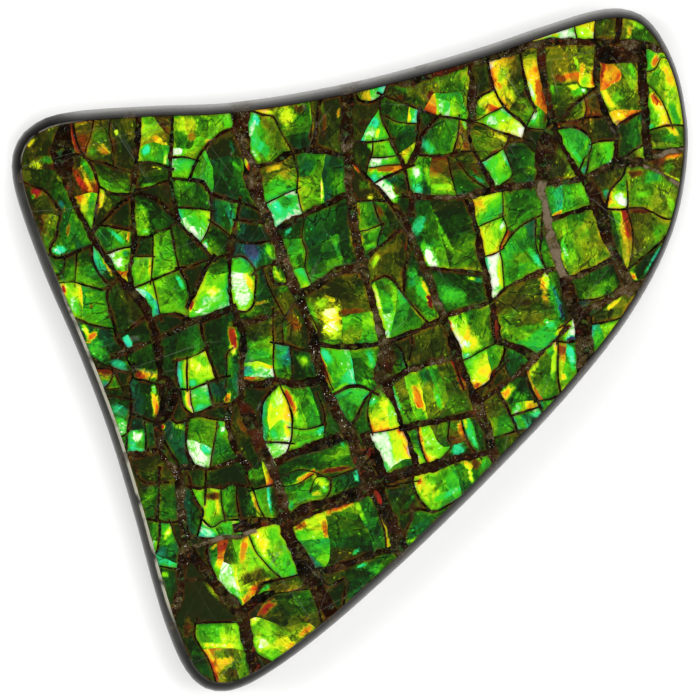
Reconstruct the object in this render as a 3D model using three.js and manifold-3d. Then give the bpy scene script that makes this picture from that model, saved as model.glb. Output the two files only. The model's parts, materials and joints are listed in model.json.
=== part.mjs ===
// Ammolite: one freeform polished stone, lying on its back with the shell side up.
// Millimetres, +Z up. The origin is under the middle of the stone, on the flat back.
import * as THREE from "three";
import { mergeVertices } from "three/addons/utils/BufferGeometryUtils.js";
import Module from "manifold-3d";

const THICKNESS = 6.0; // flat back to polished face
const BACK_CHAMFER = 0.5; // small bevel round the flat back
const SIDE_TOP = 3.7; // height at which the side starts to round in to the face
const ROUND_STEPS = 5; // flat strips in the rounded edge
const ROUND_END = THREE.MathUtils.degToRad(62); // how far the rounding has turned where it meets the face
const OUTLINE_STEPS = 168; // straight stretches round the outline
const VEIN_DEPTH = 0.2; // the soft veins are polished a little lower than the shell
const VEIN_STEP = 1.4; // length of one straight stretch of a vein
const EDGE_COLOR = 0x1c1a14;

// The outline seen from above, anticlockwise: x, y and the width of the rounded edge there.
const OUTLINE = [
  [-25.45, 13.8, 0.85], [-25.2, 12.0, 0.85], [-23.1, 6.0, 0.85], [-20.5, 0.0, 0.85],
  [-18.2, -6.0, 0.85], [-16.35, -12.0, 0.85], [-14.7, -18.0, 0.85], [-13.75, -21.0, 0.85],
  [-12.4, -24.0, 0.8], [-11.2, -25.3, 0.8], [-9.6, -25.7, 0.8], [-8.0, -25.3, 0.8],
  [-5.7, -24.0, 0.75], [-1.7, -21.0, 0.75], [5.0, -15.0, 0.75], [11.1, -9.0, 0.75],
  [16.7, -3.0, 0.7], [21.3, 3.0, 0.65], [24.3, 9.0, 0.55], [25.4, 15.0, 0.5],
  [25.2, 18.2, 0.5], [24.5, 21.2, 0.55], [23.1, 24.0, 0.6], [21.9, 25.2, 0.65],
  [20.2, 25.7, 0.75], [18.3, 25.5, 0.8], [15.0, 24.5, 0.8], [9.0, 22.5, 0.85],
  [0.0, 20.1, 0.85], [-9.0, 18.6, 0.8], [-15.0, 18.35, 0.8], [-21.0, 17.9, 0.85],
  [-23.0, 17.4, 0.85], [-24.6, 16.3, 0.85], [-25.3, 15.0, 0.85],
];

// The main veins, each a list of x, y and width along its middle line.
const STEEP_VEINS = [
  [[-21.4, 16.8, 0.7], [-21.0, 12.8, 0.5], [-19.5, 8.6, 0.4], [-17.2, 5.4, 0.45], [-15.2, 3.0, 0.65],
    [-14.3, -0.8, 0.5], [-14.6, -5.6, 0.5], [-13.0, -9.1, 0.6], [-12.4, -13.7, 0.6],
    [-12.6, -17.3, 0.6], [-13.1, -19.4, 0.4]],
  [[-15.9, 17.3, 0.45], [-16.0, 12.4, 0.4], [-16.2, 8.4, 0.4], [-16.3, 5.2, 0.4]],
  [[-8.3, 17.5, 1.4], [-7.5, 13.9, 1.0], [-6.3, 10.4, 1.1], [-4.8, 6.6, 0.8], [-3.1, 2.4, 0.7],
    [-2.2, -1.6, 0.7], [-0.5, -6.0, 0.6], [1.6, -9.4, 0.9], [2.9, -12.9, 0.8], [3.4, -14.2, 0.8]],
  [[-9.0, 8.9, 0.6], [-9.0, 4.2, 0.4], [-8.0, 1.0, 0.4], [-8.2, -1.9, 0.4], [-7.5, -4.6, 0.6],
    [-6.0, -8.3, 0.6], [-5.1, -11.7, 0.6], [-4.1, -14.8, 0.7], [-3.0, -17.1, 0.7], [-2.0, -18.7, 0.6]],
  [[-0.3, 18.8, 1.0], [-0.2, 15.0, 0.8], [0.2, 10.3, 0.7], [0.9, 6.8, 0.7], [1.8, 3.0, 0.7],
    [2.6, -1.0, 0.6], [3.5, -4.6, 0.4], [5.0, -8.6, 0.4]],
  [[0.5, 13.9, 0.3], [3.2, 11.0, 0.3], [5.0, 7.6, 0.6], [6.4, 2.8, 0.6], [8.3, -1.4, 0.6],
    [10.0, -5.2, 0.6], [10.7, -7.6, 0.7]],
  [[9.0, 20.8, 0.35], [8.9, 16.2, 0.35], [8.9, 11.4, 0.45], [9.9, 6.6, 0.45], [10.7, 2.0, 0.45]],
  [[14.3, 22.4, 0.45], [14.9, 18.0, 0.5], [14.6, 14.8, 1.1], [14.7, 11.4, 0.7], [15.4, 7.6, 0.6],
    [16.4, 4.2, 0.9], [17.4, 0.8, 0.8], [17.6, -0.6, 0.7]],
  [[15.2, 16.8, 0.45], [16.8, 13.4, 0.5], [18.4, 10.6, 0.8], [19.6, 6.6, 0.6], [20.9, 4.6, 0.5]],
  [[18.6, 22.8, 0.4], [18.7, 18.8, 0.4], [20.0, 16.0, 0.4], [19.8, 13.6, 0.4]],
  [[21.8, 22.6, 0.7], [22.1, 18.0, 0.6], [22.5, 14.4, 0.6]],
  [[-12.4, -14.6, 0.5], [-10.2, -17.2, 0.6], [-8.1, -19.7, 0.8], [-7.5, -22.6, 0.8], [-7.2, -23.6, 0.7]],
];
const CROSS_VEINS = [
  [[4.6, 20.0, 0.6], [9.8, 21.7, 0.7], [14.3, 23.0, 0.7], [18.8, 23.1, 0.9], [23.0, 22.8, 0.6]],
  [[4.7, 11.5, 0.4], [9.0, 11.7, 0.4], [13.5, 12.5, 0.4], [17.3, 12.8, 0.4], [20.4, 14.0, 0.6],
    [24.2, 14.9, 0.5]],
  [[-6.9, 13.8, 0.4], [-3.8, 14.8, 0.4], [-0.5, 14.6, 0.4]],
  [[-5.1, 9.4, 0.5], [-2.6, 10.4, 0.5], [0.0, 11.8, 0.5]],
  [[-3.9, 4.3, 0.5], [-1.0, 5.9, 0.5], [1.0, 6.3, 0.5]],
  [[-2.7, 0.4, 0.35], [1.7, 0.5, 0.35], [6.0, 1.9, 0.35], [10.6, 3.6, 0.4], [15.6, 6.4, 0.4]],
  [[17.0, 2.4, 0.6], [19.6, 4.0, 0.6], [21.2, 4.9, 0.5]],
  [[-8.1, -2.4, 0.4], [-5.2, -2.3, 0.4], [-2.2, -2.1, 0.4]],
  [[-5.9, -8.4, 0.6], [-2.5, -7.0, 0.6], [-0.5, -6.4, 0.6]],
  [[4.1, -5.8, 0.35], [6.6, -5.5, 0.35], [9.7, -4.6, 0.35]],
  [[1.9, -9.9, 0.6], [5.0, -9.0, 0.6], [8.5, -8.0, 0.5], [10.4, -7.4, 0.5]],
  [[-12.4, -14.9, 0.45], [-8.5, -14.0, 0.45], [-4.6, -13.2, 0.45], [-2.2, -11.6, 0.45], [1.7, -10.7, 0.45]],
  [[-8.2, -19.7, 0.6], [-6.2, -18.4, 0.6], [-3.3, -16.8, 0.6]],
  [[-3.1, -17.0, 0.5], [1.3, -15.4, 0.4], [3.2, -14.2, 0.4]],
];

// A smooth curve through points of x, y and a width, which it carries along as z.
function smoothCurve(points, closed) {
  return new THREE.CatmullRomCurve3(points.map((point) => new THREE.Vector3(...point)), closed, "centripetal");
}

// Points at equal steps along a curve, each with the unit normal to its left.
function walk(curve, steps, closed) {
  const points = curve.getSpacedPoints(steps);
  if (closed) points.pop();
  const last = points.length - 1;
  return points.map((point, i) => {
    const before = points[closed ? (i + last) % points.length : Math.max(i - 1, 0)];
    const after = points[closed ? (i + 1) % points.length : Math.min(i + 1, last)];
    const along = new THREE.Vector2(after.x - before.x, after.y - before.y).normalize();
    return { x: point.x, y: point.y, width: point.z, normal: new THREE.Vector2(-along.y, along.x) };
  });
}

// The stone's side as levels from back to face: a height, and an inset that is plain or a share of the rounded edge.
function sideLevels() {
  const levels = [{ z: 0, inset: BACK_CHAMFER, share: 0 }, { z: BACK_CHAMFER, inset: 0, share: 0 }];
  for (let i = 0; i <= ROUND_STEPS; i += 1) {
    const turn = (ROUND_END * i) / ROUND_STEPS;
    const rise = Math.sin(turn) / Math.sin(ROUND_END);
    const share = (1 - Math.cos(turn)) / (1 - Math.cos(ROUND_END));
    levels.push({ z: SIDE_TOP + (THICKNESS - SIDE_TOP) * rise, inset: 0, share });
  }
  return levels;
}

function slabGeometry() {
  const outline = walk(smoothCurve(OUTLINE, true), OUTLINE_STEPS, true);
  const count = outline.length;
  const rings = sideLevels().map(({ z, inset, share }) => outline.map((p) => {
    const inward = inset + share * p.width;
    return new THREE.Vector3(p.x + p.normal.x * inward, p.y + p.normal.y * inward, z);
  }));
  const index = [];
  for (let ring = 0; ring < rings.length - 1; ring += 1) {
    for (let i = 0; i < count; i += 1) {
      const next = (i + 1) % count;
      const low = ring * count;
      const high = low + count;
      index.push(low + i, low + next, high + next, low + i, high + next, high + i);
    }
  }
  const top = (rings.length - 1) * count;
  for (const [a, b, c] of THREE.ShapeUtils.triangulateShape(rings[rings.length - 1], [])) {
    index.push(top + a, top + b, top + c);
  }
  for (const [a, b, c] of THREE.ShapeUtils.triangulateShape(rings[0], [])) {
    index.push(c, b, a);
  }
  const geometry = new THREE.BufferGeometry().setFromPoints(rings.flat());
  geometry.setIndex(index);
  return geometry;
}

// The tool that sinks one vein: an upright ribbon as wide as the vein.
function veinGeometry(points) {
  const curve = smoothCurve(points, false);
  const path = walk(curve, Math.max(2, Math.round(curve.getLength() / VEIN_STEP)), false);
  const left = path.map((p) => new THREE.Vector2(p.x, p.y).addScaledVector(p.normal, p.width / 2));
  const right = path.map((p) => new THREE.Vector2(p.x, p.y).addScaledVector(p.normal, -p.width / 2));
  const ribbon = new THREE.Shape([...right, ...left.reverse()]);
  const geometry = new THREE.ExtrudeGeometry(ribbon, { depth: THICKNESS, bevelEnabled: false });
  return geometry.translate(0, 0, THICKNESS - VEIN_DEPTH);
}

const wasm = await Module();
wasm.setup();

function solidOf(geometry) {
  const bare = geometry.clone();
  bare.deleteAttribute("normal");
  bare.deleteAttribute("uv");
  const merged = mergeVertices(bare, 1e-4);
  return new wasm.Manifold(new wasm.Mesh({
    numProp: 3,
    vertProperties: Float32Array.from(merged.getAttribute("position").array),
    triVerts: Uint32Array.from(merged.getIndex().array),
  }));
}

function geometryOf(solid) {
  const mesh = solid.getMesh();
  const geometry = new THREE.BufferGeometry();
  geometry.setAttribute("position", new THREE.BufferAttribute(mesh.vertProperties, 3));
  geometry.setIndex(new THREE.BufferAttribute(mesh.triVerts, 1));
  geometry.computeVertexNormals();
  return geometry;
}

let stone = solidOf(slabGeometry());
for (const vein of [...STEEP_VEINS, ...CROSS_VEINS]) {
  stone = stone.subtract(solidOf(veinGeometry(vein)));
}

const material = new THREE.MeshStandardMaterial({ color: EDGE_COLOR, roughness: 0.25, metalness: 0 });
const ammolite = new THREE.Mesh(geometryOf(stone), material);
ammolite.name = "ammolite_stone";

const model = new THREE.Group();
model.add(ammolite);

export default model;
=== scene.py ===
import json
import math
import random

import bmesh
import bpy
import numpy as np
from bpy.props import FloatProperty, FloatVectorProperty, IntProperty, PointerProperty
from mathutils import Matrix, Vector, noise
from mathutils.geometry import delaunay_2d_cdt

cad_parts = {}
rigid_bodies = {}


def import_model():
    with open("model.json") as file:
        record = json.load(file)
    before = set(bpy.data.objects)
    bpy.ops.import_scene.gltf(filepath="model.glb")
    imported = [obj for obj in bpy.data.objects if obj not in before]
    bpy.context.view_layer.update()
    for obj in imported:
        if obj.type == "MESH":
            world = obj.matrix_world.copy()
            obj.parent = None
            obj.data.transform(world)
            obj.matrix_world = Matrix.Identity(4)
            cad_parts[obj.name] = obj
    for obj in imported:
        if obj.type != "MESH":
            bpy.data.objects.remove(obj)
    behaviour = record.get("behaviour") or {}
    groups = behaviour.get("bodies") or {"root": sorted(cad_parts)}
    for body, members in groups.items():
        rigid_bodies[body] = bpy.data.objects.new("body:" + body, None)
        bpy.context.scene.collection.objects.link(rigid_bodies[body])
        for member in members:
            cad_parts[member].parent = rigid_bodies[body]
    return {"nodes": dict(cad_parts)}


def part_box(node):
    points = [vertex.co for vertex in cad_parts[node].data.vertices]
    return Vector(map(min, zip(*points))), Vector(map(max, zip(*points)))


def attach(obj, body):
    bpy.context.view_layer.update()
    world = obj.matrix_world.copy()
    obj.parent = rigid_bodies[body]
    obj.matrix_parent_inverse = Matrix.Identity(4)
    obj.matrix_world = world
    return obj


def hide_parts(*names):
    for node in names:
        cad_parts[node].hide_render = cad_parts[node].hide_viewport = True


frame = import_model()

bl_info = {
    "name": "Ammolite stone",
    "version": (1, 0, 0),
    "blender": (4, 5, 0),
    "location": "View3D > Sidebar > Ammolite",
    "description": "Builds a polished freeform ammolite: shale slab, vein filling and shell fragments",
    "category": "Add Mesh",
}

NODE = "ammolite_stone"
LOW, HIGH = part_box(NODE)
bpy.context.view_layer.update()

# The face is laid out on a square drawing grid of GRID_SIZE steps of 0.075 mm, x to the right and y down,
# with the middle of the stone at GRID_MIDDLE. Lengths and widths in the lists below are in grid steps too.
GRID_STEP = 0.000075
GRID_SIZE = 700
GRID_MIDDLE = (350.0, 350.5)

# Veins: what fills them, then x, y and width along the middle line.
VEINS = [
    ("dark", [(63, 112, 9), (65, 130, 13), (62, 148, 21), (63, 165, 19), (67, 180, 12), (71, 195, 6),
              (76, 208, 5), (84, 222, 5), (91, 235, 6), (98, 246, 6), (106, 258, 5), (113, 270, 5),
              (121, 279, 6), (131, 289, 8), (139, 300, 9), (147, 311, 9), (152, 323, 7), (156, 338, 8),
              (158, 355, 9), (160, 372, 6), (166, 386, 17), (169, 400, 19), (165, 413, 12),
              (157, 426, 5)]),
    ("sugar", [(157, 424, 4), (158, 440, 5), (161, 453, 6), (168, 463, 6), (177, 473, 8), (180, 486, 9),
               (181, 508, 8), (184, 530, 8), (187, 546, 9)]),
    ("brown", [(187, 545, 9), (184, 560, 11), (182, 572, 8), (181, 588, 7), (178, 604, 7), (172, 622, 6)]),
    ("dark", [(138, 112, 6), (138, 140, 6), (137, 165, 5), (134, 185, 6), (133, 200, 5), (133, 215, 4),
              (134, 228, 5), (134, 245, 6), (131, 262, 6), (130, 275, 6), (134, 290, 6)]),
    ("brown", [(240, 104, 21), (241, 130, 15), (246, 150, 10), (250, 165, 12), (254, 180, 17),
               (258, 197, 13), (265, 212, 12), (270, 228, 13), (278, 243, 12), (285, 262, 9), (292, 280, 9),
               (299, 297, 9)]),
    ("sugar", [(299, 296, 9), (305, 312, 9), (310, 326, 9), (314, 338, 8), (315, 350, 8), (320, 372, 8),
               (328, 395, 9), (338, 415, 9), (349, 432, 11)]),
    ("dark", [(365, 436, 12), (369, 446, 13), (375, 458, 14), (382, 472, 10)]),
    ("brown", [(348, 431, 11), (357, 450, 14), (365, 470, 16), (374, 487, 18), (383, 505, 14),
               (391, 525, 13), (397, 540, 15), (403, 554, 12)]),
    ("dark", [(240, 200, 3), (238, 212, 3), (236, 222, 3), (233, 235, 5), (230, 247, 7), (229, 260, 5)]),
    ("dark", [(229, 258, 4), (230, 280, 4), (230, 300, 4), (234, 312, 5), (238, 322, 5), (243, 335, 6),
              (245, 350, 6)]),
    ("brown", [(244, 348, 6), (242, 365, 5), (241, 385, 6), (241, 400, 6)]),
    ("rust", [(240, 400, 8), (247, 415, 14), (253, 430, 14), (260, 446, 10), (266, 458, 8)]),
    ("brown", [(266, 456, 8), (275, 476, 9), (281, 495, 10), (284, 518, 12)]),
    ("dark", [(284, 516, 12), (288, 532, 14), (297, 550, 15), (306, 568, 16), (315, 585, 14), (324, 600, 14),
              (331, 612, 12)]),
    ("sugar", [(241, 398, 5), (231, 406, 6), (228, 424, 5), (232, 440, 5), (239, 455, 6), (246, 468, 5)]),
    ("dark", [(347, 88, 14), (347, 120, 13), (347, 140, 12)]),
    ("brown", [(347, 138, 12), (348, 160, 9), (350, 185, 8), (352, 205, 8), (355, 225, 9), (358, 243, 9),
               (362, 260, 9), (366, 278, 8), (370, 295, 8), (374, 310, 7), (379, 325, 8), (383, 342, 10),
               (386, 360, 15), (384, 378, 16), (390, 394, 8)]),
    ("dark", [(389, 392, 7), (397, 411, 5), (403, 427, 5), (409, 440, 4), (414, 456, 5), (419, 472, 6)]),
    ("dark", [(347, 150, 4), (356, 165, 3), (366, 176, 3), (378, 188, 3), (392, 204, 4), (402, 218, 7)]),
    ("brown", [(401, 217, 7), (410, 235, 8), (416, 248, 7), (421, 260, 7), (429, 280, 6), (436, 299, 7),
               (443, 316, 7)]),
    ("dark", [(442, 314, 7), (449, 331, 8), (456, 350, 8), (462, 367, 8), (468, 383, 8), (475, 398, 10)]),
    ("brown", [(475, 397, 10), (481, 414, 9), (487, 430, 9), (491, 446, 9), (496, 461, 10)]),
    ("dark", [(390, 141, 3), (398, 155, 5), (404, 168, 5), (408, 182, 4), (410, 196, 5), (410, 214, 6)]),
    ("brown", [(469, 66, 5), (472, 85, 5), (473, 100, 9), (472, 115, 9), (469, 124, 6)]),
    ("dark", [(468, 122, 4), (468, 135, 3), (473, 150, 4), (480, 163, 5), (487, 176, 6), (493, 188, 6)]),
    ("dark", [(468, 198, 7), (474, 218, 6), (479, 241, 6), (482, 262, 6), (487, 280, 6), (491, 300, 6),
              (494, 316, 6), (498, 342, 7)]),
    ("rust", [(540, 44, 8), (543, 70, 7), (546, 90, 6), (549, 106, 6), (551, 116, 7)]),
    ("dark", [(551, 114, 8), (552, 128, 13), (547, 142, 18), (543, 160, 18), (542, 178, 12)]),
    ("calcite", [(542, 180, 9), (544, 200, 8), (548, 220, 8), (552, 240, 9), (557, 258, 9),
                 (562, 274, 8)]),
    ("dark", [(562, 272, 9), (567, 288, 12), (573, 303, 12), (579, 318, 15), (582, 334, 15)]),
    ("brown", [(582, 332, 15), (586, 350, 19), (587, 374, 19)]),
    ("dark", [(600, 47, 6), (597, 65, 6), (597, 85, 6), (600, 98, 6), (605, 112, 6), (612, 127, 6),
              (617, 139, 5), (616, 152, 4), (612, 168, 4)]),
    ("dark", [(641, 50, 9), (643, 80, 10), (645, 110, 9), (647, 140, 9), (650, 158, 9)]),
    ("dark", [(556, 130, 4), (562, 145, 4), (570, 162, 5), (580, 175, 7), (590, 188, 12), (597, 203, 13),
              (603, 222, 12), (608, 240, 11)]),
    ("brown", [(607, 238, 11), (613, 252, 9), (619, 266, 9), (626, 280, 10), (632, 293, 10)]),
    ("dark", [(186, 546, 8), (196, 560, 10), (207, 575, 10), (222, 592, 11), (236, 607, 13), (243, 620, 12),
              (247, 640, 11), (252, 660, 11), (258, 676, 12)]),
    ("dark", [(620, 8, 6), (619, 28, 6), (617, 44, 5)]),
    ("rust", [(388, 80, 6), (405, 82, 9), (425, 76, 9), (440, 72, 8), (458, 66, 8)]),
    ("brown", [(455, 67, 8), (480, 60, 10), (512, 51, 9), (540, 44, 8), (575, 42, 8), (600, 43, 8),
               (640, 46, 9), (665, 50, 8)]),
    ("dark", [(598, 54, 15), (615, 55, 16), (638, 56, 14)]),
    ("brown", [(405, 197, 5), (425, 198, 5), (440, 198, 5), (470, 196, 6), (500, 189, 8), (530, 185, 6),
               (560, 182, 6), (585, 178, 6), (600, 171, 6), (622, 164, 10), (640, 162, 9)]),
    ("calcite", [(638, 162, 6), (655, 157, 5), (672, 152, 4), (686, 150, 4)]),
    ("calcite", [(642, 165, 4), (655, 170, 3), (668, 178, 3), (682, 187, 3)]),
    ("dark", [(256, 167, 6), (272, 163, 5), (286, 156, 5), (300, 152, 5), (315, 150, 6), (327, 152, 6),
              (338, 156, 5), (345, 160, 4)]),
    ("dark", [(272, 232, 4), (285, 226, 7), (300, 218, 6), (315, 210, 6), (326, 205, 6), (338, 199, 6),
              (350, 193, 4)]),
    ("brown", [(300, 294, 8), (315, 287, 7), (326, 279, 6), (337, 272, 7), (350, 270, 7), (362, 270, 6)]),
    ("dark", [(314, 344, 5), (333, 347, 5), (353, 348, 5), (373, 345, 5), (391, 341, 6), (411, 334, 5),
              (430, 325, 5), (443, 318, 5)]),
    ("brown", [(442, 318, 5), (460, 312, 4), (476, 307, 4), (491, 302, 4), (503, 290, 4), (515, 284, 4),
               (530, 277, 4), (545, 270, 5), (560, 268, 4)]),
    ("dark", [(553, 219, 4), (570, 214, 4), (585, 209, 5), (600, 206, 6)]),
    ("brown", [(566, 282, 5), (585, 273, 5), (600, 266, 6), (616, 259, 6)]),
    ("brown", [(114, 357, 5), (130, 351, 4), (149, 343, 4), (166, 336, 4), (182, 328, 4), (194, 322, 5)]),
    ("dark", [(186, 323, 8), (205, 318, 6), (220, 313, 5), (234, 308, 5)]),
    ("brown", [(236, 324, 6), (250, 322, 5), (268, 318, 5), (276, 314, 3)]),
    ("dark", [(243, 384, 6), (256, 385, 7), (270, 382, 7), (283, 382, 7), (299, 384, 8), (318, 380, 8)]),
    ("dark", [(278, 462, 8), (293, 454, 9), (308, 449, 10), (325, 443, 11), (346, 437, 9)]),
    ("dark", [(290, 521, 6), (300, 512, 10), (316, 506, 11), (335, 501, 11), (350, 495, 11),
              (368, 489, 9)]),
    ("calcite", [(188, 549, 4), (207, 542, 4), (225, 538, 4), (240, 537, 5), (253, 532, 4)]),
    ("dark", [(236, 528, 10), (253, 525, 12), (272, 522, 9), (285, 524, 6)]),
    ("brown", [(290, 527, 5), (305, 518, 4), (320, 512, 4), (340, 505, 4), (358, 498, 4), (372, 492, 5)]),
    ("brown", [(387, 385, 6), (399, 376, 6), (410, 369, 5), (425, 365, 5), (445, 360, 5), (457, 357, 5)]),
    ("dark", [(402, 428, 5), (422, 424, 6), (437, 421, 6), (460, 417, 6), (482, 412, 6)]),
    ("dark", [(378, 481, 11), (399, 475, 11), (417, 471, 11), (435, 466, 11), (455, 459, 8), (473, 457, 5),
              (491, 453, 5)]),
    ("dark", [(242, 613, 10), (252, 604, 9), (262, 597, 8), (272, 594, 5)]),
    ("dark", [(310, 576, 9), (325, 570, 8), (340, 566, 7), (368, 557, 5), (387, 551, 6), (400, 550, 8)]),
    ("brown", [(578, 317, 11), (595, 307, 10), (612, 298, 9), (625, 290, 9), (642, 284, 8)]),
    ("sugar", [(184, 468, 7), (197, 467, 4), (209, 469, 4), (222, 465, 4), (237, 460, 4)]),
    ("sugar", [(120, 456, 5), (130, 456, 8), (140, 455, 6), (150, 452, 5), (162, 450, 4)]),
    ("brown", [(484, 399, 5), (500, 388, 4), (520, 373, 4), (534, 360, 5), (545, 350, 5), (556, 341, 4),
               (568, 328, 4)]),
    ("dark", [(498, 341, 7), (509, 346, 7), (522, 350, 8), (532, 357, 9)]),
]

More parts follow.
